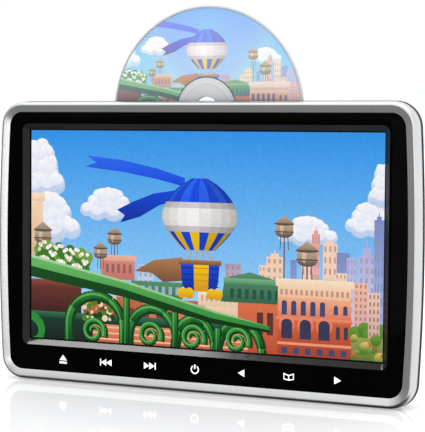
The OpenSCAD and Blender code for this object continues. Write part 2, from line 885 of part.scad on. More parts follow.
module pickup_sled() {
    front = 3.5;
    back = 7.3;
    fork_r = rod_r + 0.2;
    color([0.5, 0.5, 0.53]) difference() {
        union() {
            block([-20.2, front, sled_low], [20.2, back, sled_top]);
            block([-rod_x - 3, front, sled_low], [-20, back, sled_top]);
            block([20, front, lens_z - 1], [screw_x - 1.6, back, lens_z + 7]);
        }
        along_z(-rod_x, rod_y, sled_low - 1, sled_top + 1, rod_r + run);
        along_z(rod_x, rod_y, lens_z - 2, lens_z + 8, fork_r);
        block([rod_x - fork_r, front - 1, lens_z - 2], [rod_x + fork_r, rod_y, lens_z + 8]);
        along_y(0, lens_z, front - 1, front + 1.2, 3);
        translate([0, 0, lens_z]) plate(front - 1, front + 0.5) square([15, 11], center = true);
    }
}

module objective_lens() {
    color([0.6, 0.75, 0.9]) turned_y(0, lens_z) polygon([
        [0, 3.1], [1.2, 3.25], [2.1, 3.7], [2.1, 4.1], [2.9, 4.1], [2.9, 4.65], [0, 4.65]
    ]);
}

module lead_screw() {
    color("silver") {
        along_z(screw_x, screw_y, 36.4, 86.4, 1.3);
        along_z(screw_x, screw_y, 31, 36.5, 0.6);
        along_z(screw_x, screw_y, 86.3, 87.8, 0.7);
    }
}

// Cam plate whose sloped slots lift the deck as it slides
module cam_slider() {
    color([0.85, 0.85, 0.8]) difference() {
        slice(35.9, 37.1) translate([2.8, 28]) square([6.2, 86]);
        for (z = pin_heights) hull() {
            along_x(35, 38, pin_y, z, pin_r + 0.2);
            along_x(35, 38, pin_y - lift, z - cam_travel, pin_r + 0.2);
        }
    }
}

front_bezel();
silver_frame();
rear_cover();
lcd_frame();
lcd_glass();
lcd_backlight();
chassis_plate();
touch_board();
touch_pads();
ir_receiver();
main_board();
main_chips();
heatsink();
capacitors();
hdmi_socket();
usb_socket();
card_socket();
power_board();
dc_inlet();
headphone_jack();
av_jack();
switch_body();
speaker_frames();
speaker_cones();
drive_tray();
drive_cover();
disc_guide();
slot_felt();
roller_bushes();
gear_pin();
loading_motor();
motor_bracket();
drive_dampers();
drive_screws();
case_screws();
chassis_screws();
board_screws();
threaded_inserts();
rubber_feet();
lcd_ribbon();
touch_ribbon();
disc();
loading_roller();
roller_shaft();
roller_gear();
reduction_gear();
motor_pinion();
traverse_deck();
guide_rods();
spindle_stator();
sled_motor();
turntable();
turntable_pad();
clamper();
pickup_sled();
objective_lens();
lead_screw();
cam_slider();
switch_knob();
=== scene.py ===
import json
import math

import bmesh
import bpy
from mathutils import Matrix, Vector


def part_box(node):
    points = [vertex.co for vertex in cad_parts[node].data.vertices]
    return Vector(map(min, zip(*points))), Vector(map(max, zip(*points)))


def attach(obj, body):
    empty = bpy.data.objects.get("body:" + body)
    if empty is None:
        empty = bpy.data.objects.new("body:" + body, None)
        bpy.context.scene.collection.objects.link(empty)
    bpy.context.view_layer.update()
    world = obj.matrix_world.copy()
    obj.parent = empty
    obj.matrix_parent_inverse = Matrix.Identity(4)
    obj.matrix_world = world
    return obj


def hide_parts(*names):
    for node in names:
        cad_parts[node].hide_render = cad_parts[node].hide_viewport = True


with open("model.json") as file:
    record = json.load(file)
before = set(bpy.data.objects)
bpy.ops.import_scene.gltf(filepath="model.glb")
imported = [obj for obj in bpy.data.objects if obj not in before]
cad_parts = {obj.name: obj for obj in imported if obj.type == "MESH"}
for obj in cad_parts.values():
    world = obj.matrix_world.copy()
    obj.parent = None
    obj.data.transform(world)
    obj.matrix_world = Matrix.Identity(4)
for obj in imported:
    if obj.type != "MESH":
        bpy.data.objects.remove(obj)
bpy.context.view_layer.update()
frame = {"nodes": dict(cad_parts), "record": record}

MM = 0.001

# ---- The object's own sizes, in millimetres ----
frame_low, frame_high = (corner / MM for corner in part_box("silver_frame"))
BODY_W = frame_high.x - frame_low.x
BODY_H = frame_high.z - frame_low.z
FRONT_Y = frame_low.y
FRAME_BACK_Y = frame_high.y
FACE_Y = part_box("front_bezel")[0].y / MM
GLASS_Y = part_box("lcd_glass")[0].y / MM
BEZEL_BACK_Y = GLASS_Y - 0.3

# Outline: the radius of the bowed sides and of the corners
BOW_R = 1200
CORNER_R = 15

# Trim frame, measured inwards from the outline: its ridge, the face panel, its wall and its recessed lip
RIDGE_IN = 2.65
FACE_IN = 6.75
WALL_IN = 2.2
WALL_BACK = 2.4
BAND_DEPTH = 5
LIP_STEP = 0.38
LIP_FRONT_Y = FRAME_BACK_Y - 0.7

# Screen: the lit picture, the dark border round it and the sloped surround outside that
PICTURE_W = 222.72
PICTURE_H = 125.28
SCREEN_Z = 88.5
BORDER = 0.9
WINDOW_W = PICTURE_W + 2 * BORDER
WINDOW_H = PICTURE_H + 2 * BORDER
SURROUND = 2.9
SURROUND_DEPTH = 3.1
SURROUND_R = 4.1

ICON_Z = SCREEN_Z - 74.15
ICON_STEP = 29

# Disc
disc_low, disc_high = (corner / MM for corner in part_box("disc"))
DISC_Z = (disc_low.z + disc_high.z) / 2
DISC_R = (disc_high.z - disc_low.z) / 2
DISC_T = 1.2
HUB_HOLE_R = 7.5
LABEL_IN = 19
LABEL_OUT = 58.4

# A picture stands this far in front of its surface, and its layers share this depth
PRINT_T = 0.24
PRINT_LAYERS = 0.2


# ---- Small tools ----

def into_scene(name, data):
    made = bpy.data.objects.new(name, data)
    bpy.context.scene.collection.objects.link(made)
    return made


def new_object(name, verts, faces, smooth=True):
    """Mesh object from points in millimetres."""
    mesh = bpy.data.meshes.new(name)
    mesh.from_pydata([Vector(v) * MM for v in verts], [], faces)
    mesh.update()
    piece = into_scene(name, mesh)
    if smooth:
        mesh.shade_smooth()
    return piece


def fix_normals(piece):
    work = bmesh.new()
    work.from_mesh(piece.data)
    bmesh.ops.recalc_face_normals(work, faces=work.faces)
    work.to_mesh(piece.data)
    work.free()


def sharpen(piece, degrees):
    """Smooth shading, with edges sharper than an angle kept crisp."""
    piece.data.shade_smooth()
    piece.data.set_sharp_from_angle(angle=math.radians(degrees))


def outline(inset):
    """Points (x, z) of the housing's outline moved inwards: straight ends, bowed sides, round corners."""
    corner_steps, bow_steps = 14, 20
    half = BODY_H / 2
    radius = max(CORNER_R - inset, 1)
    tilt = math.asin((half - inset - radius) / (BOW_R - radius))
    bow_x = BODY_W / 2 - inset - BOW_R
    corner_x = bow_x + (BOW_R - radius) * math.cos(tilt)
    corner_z = half - inset - radius
    corner = []
    for i in range(corner_steps + 1):
        a = tilt + (math.pi / 2 - tilt) * i / corner_steps
        corner.append((corner_x + radius * math.cos(a), corner_z + radius * math.sin(a)))
    bow = []
    for i in range(1, bow_steps):
        a = tilt * (2 * i / bow_steps - 1)
        bow.append((bow_x + BOW_R * math.cos(a), BOW_R * math.sin(a)))
    right = [(x, -z) for x, z in reversed(corner)] + bow + corner
    left = [(-x, z) for x, z in reversed(right)]
    return [(x, z + half) for x, z in right + left]


def outline_rings(profile):
    """One ring round the housing for each (inset, y) of a profile."""
    return [[(x, y, z) for x, z in outline(inset)] for inset, y in profile]


def skin(rings, closed=True, start=0):
    """Points, and faces numbered from start, through rings. Closed joins the last ring to the first."""
    count = len(rings[0])
    verts = [p for ring in rings for p in ring]
    faces = []
    last = len(rings) if closed else len(rings) - 1
    for k in range(last):
        a, b = start + k * count, start + (k + 1) % len(rings) * count
        for i in range(count):
            j = (i + 1) % count
            faces.append((a + i, a + j, b + j, b + i))
    return verts, faces


def sweep(name, rings, closed=True):
    piece = new_object(name, *skin(rings, closed))
    fix_normals(piece)
    return piece


def rounded_rect(w, h, r):
    corner_steps = 8
    points = []
    for cx, cz, start in ((1, 1, 0), (-1, 1, 90), (-1, -1, 180), (1, -1, 270)):
        for i in range(corner_steps + 1):
            a = math.radians(start + 90 * i / corner_steps)
            points.append((cx * (w / 2 - r) + r * math.cos(a), cz * (h / 2 - r) + r * math.sin(a)))
    return points


def coat(piece, material):
    piece.data.materials.append(material)
    return piece


# ---- Materials ----

class Nodes:
    """A node tree under construction."""

    def __init__(self, tree):
        self.tree = tree

    def add(self, kind, values=None, **settings):
        """A new node, with constant values for some of its inputs and with its settings."""
        node = self.tree.nodes.new(kind)
        for key, value in settings.items():
            setattr(node, key, value)
        for key, value in (values or {}).items():
            node.inputs[key].default_value = value
        return node

    def link(self, output, target):
        self.tree.links.new(output, target)

    def between(self, factor, low, high, start=0.3, stop=0.7, **settings):
        """Low while the factor is below start, high above stop, and a ramp from one to the other."""
        values = {"From Min": start, "From Max": stop, "To Min": low, "To Max": high}
        node = self.add("ShaderNodeMapRange", values, **settings)
        self.link(factor, node.inputs["Value"])
        return node.outputs["Result"]

    def maths(self, operation, first, second):
        node = self.add("ShaderNodeMath", operation=operation)
        self.link(first, node.inputs[0])
        self.link(second, node.inputs[1])
        return node.outputs["Value"]

    def mix(self, factor, first, second, **settings):
        node = self.add("ShaderNodeMix", data_type="RGBA", **settings)
        if isinstance(factor, float):
            node.inputs["Factor"].default_value = factor
        else:
            self.link(factor, node.inputs["Factor"])
        self.link(first, node.inputs["A"])
        self.link(second, node.inputs["B"])
        return node.outputs["Result"]


class Shader(Nodes):
    """A material: its nodes, the links between them and its Principled shader."""

    def __init__(self, name):
        self.material = bpy.data.materials.new(name)
        self.material.use_nodes = True
        super().__init__(self.material.node_tree)
        self.surface = self.tree.nodes["Principled BSDF"]
        self.place = self.add("ShaderNodeTexCoord").outputs["Object"]

    def set(self, **values):
        for key, value in values.items():
            self.surface.inputs[key.replace("_", " ")].default_value = value
        return self

    def stretched(self, scale):
        mapping = self.add("ShaderNodeMapping", {"Scale": scale})
        self.link(self.place, mapping.inputs["Vector"])
        return mapping.outputs["Vector"]

    def noise(self, scale, detail=4, roughness=0.5, vector=None):
        node = self.add("ShaderNodeTexNoise", {"Scale": scale, "Detail": detail, "Roughness": roughness})
        self.link(vector or self.place, node.inputs["Vector"])
        return node.outputs["Fac"]

    def tint(self, factor, low, high):
        ramp = self.add("ShaderNodeValToRGB")
        for stop, position, colour in zip(ramp.color_ramp.elements, (0.3, 0.7), (low, high)):
            stop.position, stop.color = position, (*colour, 1)
        self.link(factor, ramp.inputs["Fac"])
        return ramp.outputs["Color"]

    def edge_highlight_mask(self, radius):
        """Mask for a painted edge highlight: 0 on flat stretches, rising to 1 on edges."""
        bevel = self.add("ShaderNodeBevel", {"Radius": radius * MM})
        geometry = self.add("ShaderNodeNewGeometry")
        dot = self.add("ShaderNodeVectorMath", operation="DOT_PRODUCT")
        self.link(bevel.outputs["Normal"], dot.inputs[0])
        self.link(geometry.outputs["Normal"], dot.inputs[1])
        return self.between(dot.outputs["Value"], 1, 0, 0.8, 0.99)

    def bump(self, height, strength, distance):
        node = self.add("ShaderNodeBump", {"Strength": strength, "Distance": distance * MM})
        self.link(height, node.inputs["Height"])
        self.link(node.outputs["Normal"], self.surface.inputs["Normal"])
        return self

    def colour(self, output):
        self.link(output, self.surface.inputs["Base Color"])

    def rough(self, noise, low, high):
        self.link(self.between(self.noise(*noise), low, high), self.surface.inputs["Roughness"])

    def wear(self, rough, bumps):
        """Roughness and height that each follow a noise. Returns the finished material."""
        self.rough(*rough)
        return self.bump(self.noise(*bumps[0]), *bumps[1:]).material


def finish(name, tones, rough, bumps, **settings):
    """A surface whose colour, roughness and height each follow a noise of their own.

    Tones: the colour noise and two colours. Rough: the noise and two roughnesses. Bumps: the noise, a
    strength and a height in millimetres. Settings go to the Principled shader.
    """
    shader = Shader(name)
    shader.colour(shader.tint(shader.noise(*tones[0]), *tones[1:]))
    shader.set(**settings)
    return shader.wear(rough, bumps)


def plastic(name, low, high, rough_low, rough_high, grain=2600, depth=0.02):
    return finish(name, ((60,), low, high), ((240, 6), rough_low, rough_high), ((grain, 3), 0.35, depth))


def metal(name, low, high, rough_low, rough_high, stretch=(1, 1, 1)):
    """Metal with a fine grain, drawn out along one axis by a stretch."""
    shader = Shader(name)
    grain, grain_place = 3000, shader.stretched(stretch)
    shader.colour(shader.tint(shader.noise(90, 5), low, high))
    shader.set(Metallic=1.0)
    return shader.wear(((grain, 5, 0.6, grain_place), rough_low, rough_high),
                       ((grain, 4, 0.6, grain_place), 0.3, 0.01))


def fibre(name, low, high):
    return finish(name, ((900, 6, 0.7), low, high), ((700,), 0.8, 1.0), ((4200, 6, 0.8), 0.8, 0.12),
                  Sheen_Weight=0.3, Sheen_Roughness=0.6)


def black_shell(name):
    """Fine leather grain, painted a little paler along its edges as a highlight."""
    shader = Shader(name)
    face_tone = shader.tint(shader.noise(50, 5), (0.008, 0.008, 0.009), (0.015, 0.015, 0.016))
    edge_highlight_tone = shader.tint(shader.noise(800, 5), (0.02, 0.02, 0.021), (0.055, 0.055, 0.057))
    # Painted highlight: the shell's colour turns paler along its edges
    shader.colour(shader.mix(shader.edge_highlight_mask(0.5), face_tone, edge_highlight_tone))
    shader.rough((500, 4), 0.36, 0.5)
    grain = shader.add("ShaderNodeTexVoronoi", {"Scale": 1500}, feature="SMOOTH_F1")
    shader.link(shader.place, grain.inputs["Vector"])
    return shader.bump(grain.outputs["Distance"], 0.5, 0.06).material


def board_green(name):
    """Green solder mask over a faint pattern of tracks."""
    shader = Shader(name)
    tracks = shader.add("ShaderNodeTexBrick", {
        "Scale": 420, "Mortar Size": 0.03, "Mortar": (0.03, 0.2, 0.07, 1),
        "Color1": (0.004, 0.07, 0.022, 1), "Color2": (0.006, 0.1, 0.03, 1)})
    shader.link(shader.place, tracks.inputs["Vector"])
    shader.colour(tracks.outputs["Color"])
    shader.rough((300,), 0.25, 0.4)
    return shader.bump(tracks.outputs["Fac"], 0.3, 0.03).material


STEEL = ((0.48, 0.49, 0.51), (0.6, 0.61, 0.63))
BRIGHT = ((0.62, 0.63, 0.65), (0.72, 0.73, 0.75))
PLASTICS = {
    "light_guide": ((0.75, 0.78, 0.82), (0.85, 0.87, 0.9), 0.3, 0.45),
    "chip_black": ((0.012, 0.012, 0.013), (0.022, 0.022, 0.023), 0.45, 0.65),
    "smoked_plastic": ((0.02, 0.004, 0.01), (0.03, 0.006, 0.014), 0.08, 0.16),
    "capacitor_sleeve": ((0.01, 0.015, 0.06), (0.02, 0.028, 0.1), 0.2, 0.35),
    "black_plastic": ((0.012, 0.012, 0.012), (0.02, 0.02, 0.021), 0.3, 0.48),
    "speaker_black": ((0.02, 0.02, 0.022), (0.032, 0.032, 0.035), 0.5, 0.7),
    "rubber_black": ((0.012, 0.012, 0.012), (0.022, 0.022, 0.022), 0.7, 0.9, 1800, 0.05),
    "flex_amber": ((0.42, 0.14, 0.012), (0.55, 0.2, 0.02), 0.18, 0.3),
    "disc_clear": ((0.64, 0.66, 0.68), (0.68, 0.7, 0.72), 0.05, 0.1),
    "natural_plastic": ((0.7, 0.69, 0.64), (0.8, 0.79, 0.74), 0.35, 0.5),
    "lens_blue": ((0.1, 0.2, 0.4), (0.16, 0.3, 0.5), 0.02, 0.05),
}
METALS = {
    "sheet_steel": (*STEEL, 0.28, 0.45, (1, 1, 14)),
    "copper_pad": ((0.62, 0.3, 0.14), (0.75, 0.4, 0.2), 0.25, 0.4),
    "aluminium_fin": ((0.66, 0.67, 0.69), (0.76, 0.77, 0.79), 0.3, 0.42, (1, 10, 1)),
    "socket_steel": (*BRIGHT, 0.16, 0.28, (6, 1, 1)),
    "gold_plate": ((0.78, 0.52, 0.18), (0.86, 0.62, 0.26), 0.18, 0.3),
    "bright_steel": (*BRIGHT, 0.12, 0.22, (1, 1, 4)),
    "black_screw": ((0.03, 0.03, 0.032), (0.05, 0.05, 0.052), 0.3, 0.5),
    "brass": ((0.58, 0.4, 0.14), (0.72, 0.52, 0.22), 0.22, 0.38),
    "deck_grey": ((0.1, 0.105, 0.11), (0.15, 0.155, 0.16), 0.4, 0.55),
    "copper_coil": ((0.45, 0.18, 0.07), (0.6, 0.28, 0.12), 0.25, 0.4, (1, 30, 1)),
}
FIBRES = {
    "paper_cone": ((0.02, 0.02, 0.022), (0.04, 0.04, 0.044)),
    "felt": ((0.008, 0.008, 0.009), (0.02, 0.02, 0.022)),
}
# Noise and two values each for colour, roughness and bump, then the shader's own settings
FINISHES = {
    "gloss_black": (((25,), (0.0006, 0.0006, 0.0007), (0.0012, 0.0012, 0.0014)), ((180, 6), 0.03, 0.07),
                    ((700, 2), 0.04, 0.002), {"Specular_IOR_Level": 0.02}),
    "trim_black": (((25,), (0.012, 0.011, 0.0105), (0.018, 0.0165, 0.0155)), ((220, 6), 0.1, 0.16),
                   ((1400, 3), 0.05, 0.003), {"Specular_IOR_Level": 0.15}),
    "satin_silver": (((40, 5), (0.72, 0.73, 0.74), (0.77, 0.78, 0.79)), ((900, 5), 0.18, 0.24),
                     ((9000, 2), 0.05, 0.002), {"Metallic": 1.0}),
    "display": (((20,), (0.002, 0.002, 0.003), (0.004, 0.004, 0.005)), ((400,), 0.08, 0.14),
                ((900, 2), 0.05, 0.003), {"Specular_IOR_Level": 0.25}),
    # The printed icons get a faint emission: a painted glow, since the prints are no lamp
    "icon_white": (((300,), (0.85, 0.86, 0.88), (0.95, 0.95, 0.96)), ((900,), 0.25, 0.4),
                   ((1500,), 0.1, 0.01), {"Emission_Color": (0.9, 0.95, 1, 1), "Emission_Strength": 0.55}),
}


def make_materials():
    made = {name: finish(name, *noises, **settings) for name, (*noises, settings) in FINISHES.items()}
    made |= {name: plastic(name, *values) for name, values in PLASTICS.items()}
    made |= {name: metal(name, *values) for name, values in METALS.items()}
    made |= {name: fibre(name, *tones) for name, tones in FIBRES.items()}
    made |= {"black_shell": black_shell("black_shell"), "board_green": board_green("board_green")}
    return made


def dress_cad_nodes(materials):
    for entry in frame["record"]["subparts"]:
        node = frame["nodes"][entry["node"]]
        node.data.materials.clear()
        node.data.materials.append(materials[entry["material_slot"]])


# ---- Camera: its angles in degrees, then its distances from the aiming mark and its lens in millimetres ----

VIEW_YAW = 24.34
VIEW_PITCH = 3.21
VIEW_ROLL = 0.416
VIEW_DISTANCE = 876.13
VIEW_SIDE = -8.003
VIEW_UP = -14.064
LENS = 126.97


def make_camera():
    """To the right of the front and slightly above. The screen's centre is its aiming mark."""
    yaw, pitch, roll = (math.radians(a) for a in (VIEW_YAW, VIEW_PITCH, VIEW_ROLL))
    right = Vector((math.cos(yaw), math.sin(yaw), 0))
    level = Vector((-math.sin(yaw), math.cos(yaw), 0))
    up = Vector((0, 0, 1))
    ahead = level * math.cos(pitch) - up * math.sin(pitch)
    top = level * math.sin(pitch) + up * math.cos(pitch)
    across = right * math.cos(roll) + top * math.sin(roll)
    upward = top * math.cos(roll) - right * math.sin(roll)
    mark = Vector((0, GLASS_Y, SCREEN_Z))
    place = mark - across * VIEW_SIDE - upward * VIEW_UP - ahead * VIEW_DISTANCE
    data = bpy.data.cameras.new("camera")
    data.lens = LENS
    data.sensor_width = 36
    data.clip_start = 0.05
    camera = into_scene("camera", data)
    turn = Matrix((across, upward, -ahead)).transposed().to_4x4()
    camera.matrix_world = Matrix.Translation(place * MM) @ turn
    bpy.context.scene.camera = camera


# ---- Trim frame ----

def make_silver_ring():
    """A quarter-round band from the lip to the ridge, and the step that holds the face panel."""
    band_steps = 12
    wall_y = FRONT_Y + WALL_BACK
    profile = []
    for i in range(band_steps + 1):
        a = math.pi / 2 * i / band_steps
        inset = LIP_STEP + (RIDGE_IN - LIP_STEP) * (1 - math.sin(a))
        profile.append((inset, FRONT_Y + BAND_DEPTH * (1 - math.cos(a))))
    profile += [(LIP_STEP, LIP_FRONT_Y - 0.3), (LIP_STEP + 0.08, LIP_FRONT_Y - 0.08),
                (LIP_STEP + 0.3, LIP_FRONT_Y), (WALL_IN, LIP_FRONT_Y), (WALL_IN, wall_y), (FACE_IN, wall_y),
                (FACE_IN, FACE_Y + 0.12), (FACE_IN - 0.12, FACE_Y - 0.02),
                (RIDGE_IN + 0.28, FRONT_Y + 0.03), (RIDGE_IN + 0.1, FRONT_Y)]
    ring = sweep("silver_ring", outline_rings(profile))
    sharpen(ring, 30)
    return ring


def make_shell_lip():
    """Dark edge of the rear shell, seen behind the trim frame."""
    profile = [(LIP_STEP + 0.4, LIP_FRONT_Y), (0.06, LIP_FRONT_Y + 0.05), (0.02, LIP_FRONT_Y + 0.2),
               (0.02, FRAME_BACK_Y - 0.2), (0.2, FRAME_BACK_Y), (2.6, FRAME_BACK_Y)]
    piece = sweep("shell_lip", outline_rings(profile), closed=False)
    sharpen(piece, 30)
    return piece


# ---- Front panel ----

def window_ring(grow, y, radius):
    """Rounded rectangle round the window, grown on every side, as points at one depth."""
    flat = rounded_rect(WINDOW_W + 2 * grow, WINDOW_H + 2 * grow, radius)
    return [(x, y, z + SCREEN_Z) for x, z in flat]


def loop_edges(verts):
    pairs = zip(verts, verts[1:] + verts[:1])
    return [e for v, after in pairs for e in v.link_edges if e.other_vert(v) == after]


def make_face_panel():
    """Glossy panel with a rounded rim, open in the middle for the screen's surround."""
    outer = outline_rings([(FACE_IN + 0.15, BEZEL_BACK_Y), (FACE_IN + 0.15, FACE_Y + 0.2),
                           (FACE_IN + 0.21, FACE_Y + 0.06), (FACE_IN + 0.4, FACE_Y)])
    inner = [window_ring(SURROUND + 0.2, y, SURROUND_R) for y in (FACE_Y, BEZEL_BACK_Y)]
    rim_verts, rim_faces = skin(outer, closed=False)
    start = len(rim_verts)
    hole_verts, hole_faces = skin(inner, closed=False, start=start)
    piece = new_object("face_panel", rim_verts + hole_verts, rim_faces + hole_faces)
    work = bmesh.new()
    work.from_mesh(piece.data)
    work.verts.ensure_lookup_table()
    many, few = len(outer[0]), len(inner[0])
    for rim_from, hole_from in ((start - many, start), (0, start + few)):
        edges = loop_edges([work.verts[rim_from + i] for i in range(many)])
        edges += loop_edges([work.verts[hole_from + i] for i in range(few)])
        bmesh.ops.triangle_fill(work, use_beauty=True, edges=edges)
    work.to_mesh(piece.data)
    work.free()
    fix_normals(piece)
    sharpen(piece, 25)
    return piece


def make_surround():
    """Sloped frame that leads the eye down to the screen."""
    deep = FACE_Y + SURROUND_DEPTH
    profile = [(SURROUND + 0.17, BEZEL_BACK_Y, SURROUND_R), (SURROUND + 0.17, FACE_Y, SURROUND_R),
               (SURROUND + 0.04, FACE_Y + 0.02, SURROUND_R - 0.1),
               (SURROUND - 0.06, FACE_Y + 0.12, SURROUND_R - 0.2),
               (0.12, deep - 0.1, 1.1), (0, deep + 0.02, 1), (0, BEZEL_BACK_Y, 1)]
    piece = sweep("screen_surround", [window_ring(*point) for point in profile])
    sharpen(piece, 25)
    return piece


# ---- Icons: generic transport marks ----

def flat_shapes(name, loops, y_front, thickness):
    """Closed thin prints from outlines given in x and z."""
    verts, faces = [], []
    for loop in loops:
        base, size = len(verts), len(loop)
        verts += [(x, y_front, z) for x, z in loop]
        verts += [(x, y_front + thickness, z) for x, z in loop]
        faces.append(tuple(range(base, base + size)))
        faces.append(tuple(range(base + 2 * size - 1, base + size - 1, -1)))
        for i in range(size):
            j = (i + 1) % size
            faces.append((base + i, base + j, base + size + j, base + size + i))
    piece = new_object(name, verts, faces, smooth=False)
    fix_normals(piece)
    return piece


def bar(x0, x1, z0, z1):
    return [(x0, z0), (x1, z0), (x1, z1), (x0, z1)]


def arc_band(radius, width, start, stop):
    steps = 28
    angles = [math.radians(start + (stop - start) * i / steps) for i in range(steps + 1)]
    outer, inner = ([(r * math.cos(a), r * math.sin(a)) for a in angles]
                    for r in (radius + width / 2, radius - width / 2))
    return outer + inner[::-1]


def icon_loops():
    """Eject, back, forward, power, left, menu and right, each about its own centre."""
    eject = [[(-2.5, -0.7), (2.5, -0.7), (0, 2.6)], bar(-2.5, 2.5, -2.6, -1.5)]
    back = [bar(-3.9, -3.2, -2, 2), [(-3.2, 0), (0.3, -2), (0.3, 2)], [(0.3, 0), (3.8, -2), (3.8, 2)]]
    forward = [[(-x, z) for x, z in loop] for loop in back]
    power = [arc_band(2.25, 0.75, 125, 415), bar(-0.4, 0.4, 0.3, 2.9)]
    left = [[(-2, 0), (2, -2.1), (2, 2.1)]]
    right = [[(2, 0), (-2, -2.1), (-2, 2.1)]]
    page = [
        [(-3.1, 1.9), (-3.1, -1.5), (-2.6, -1.5), (-2.6, 1.9)],
        [(-3.1, -1.5), (0, -2.2), (0, -1.6), (-3.1, -0.95)],
        [(-2.6, 1.9), (-0.3, 1.1), (-0.3, 0.5), (-3.1, 1.4), (-3.1, 1.9)],
        bar(-0.3, 0, -2.1, 1.1),
    ]
    menu = page + [[(-x, z) for x, z in loop] for loop in page]
    return [eject, back, forward, power, left, menu, right]


def make_icons():
    loops = []
    icons = icon_loops()
    for index, icon in enumerate(icons):
        icon_x = (index - len(icons) // 2) * ICON_STEP
        for loop in icon:
            loops.append([(x + icon_x, z + ICON_Z) for x, z in loop])
    return flat_shapes("touch_icons", loops, FACE_Y - 0.03, 0.028)


# ---- The picture on the screen and on the disc: a plain town view with a toy balloon ----
# Places across and down the picture run from 0 to 1, from its top left corner.

PICTURE_RATIO = PICTURE_W / PICTURE_H
SKY = (50, 144, 228)
HAZE = (178, 222, 251)
CLOUD = (249, 248, 250)
CLOUD_MID = (226, 230, 243)
CLOUD_SHADE = (186, 205, 232)
BLUE = (26, 74, 216)
DEEP_BLUE = (18, 46, 150)
YELLOW = (246, 200, 30)
OCHRE = (206, 150, 24)
WHITE = (250, 248, 244)
SHADE_WHITE = (212, 206, 208)
RAIL = (46, 138, 56)
RAIL_LIGHT = (104, 180, 98)
RAIL_DARK = (16, 62, 26)
LEAF = (58, 120, 40)
BRICK = (206, 96, 62)
BRICK_DARK = (160, 66, 46)
PEACH = (236, 186, 152)
CREAM = (246, 222, 196)
WINDOW = (66, 74, 110)
SLATE_GREEN = (84, 142, 104)
SLATE_DARK = (52, 102, 78)
SOIL = (104, 54, 46)
TIN = (150, 128, 110)
TIN_DARK = (96, 80, 76)
TIN_LIGHT = (190, 166, 140)
LEATHER = ((176, 124, 84), (120, 78, 52))


def scatter(i):
    """A share of 1 that jumps about as i counts up."""
    return (i * 0.618) % 1


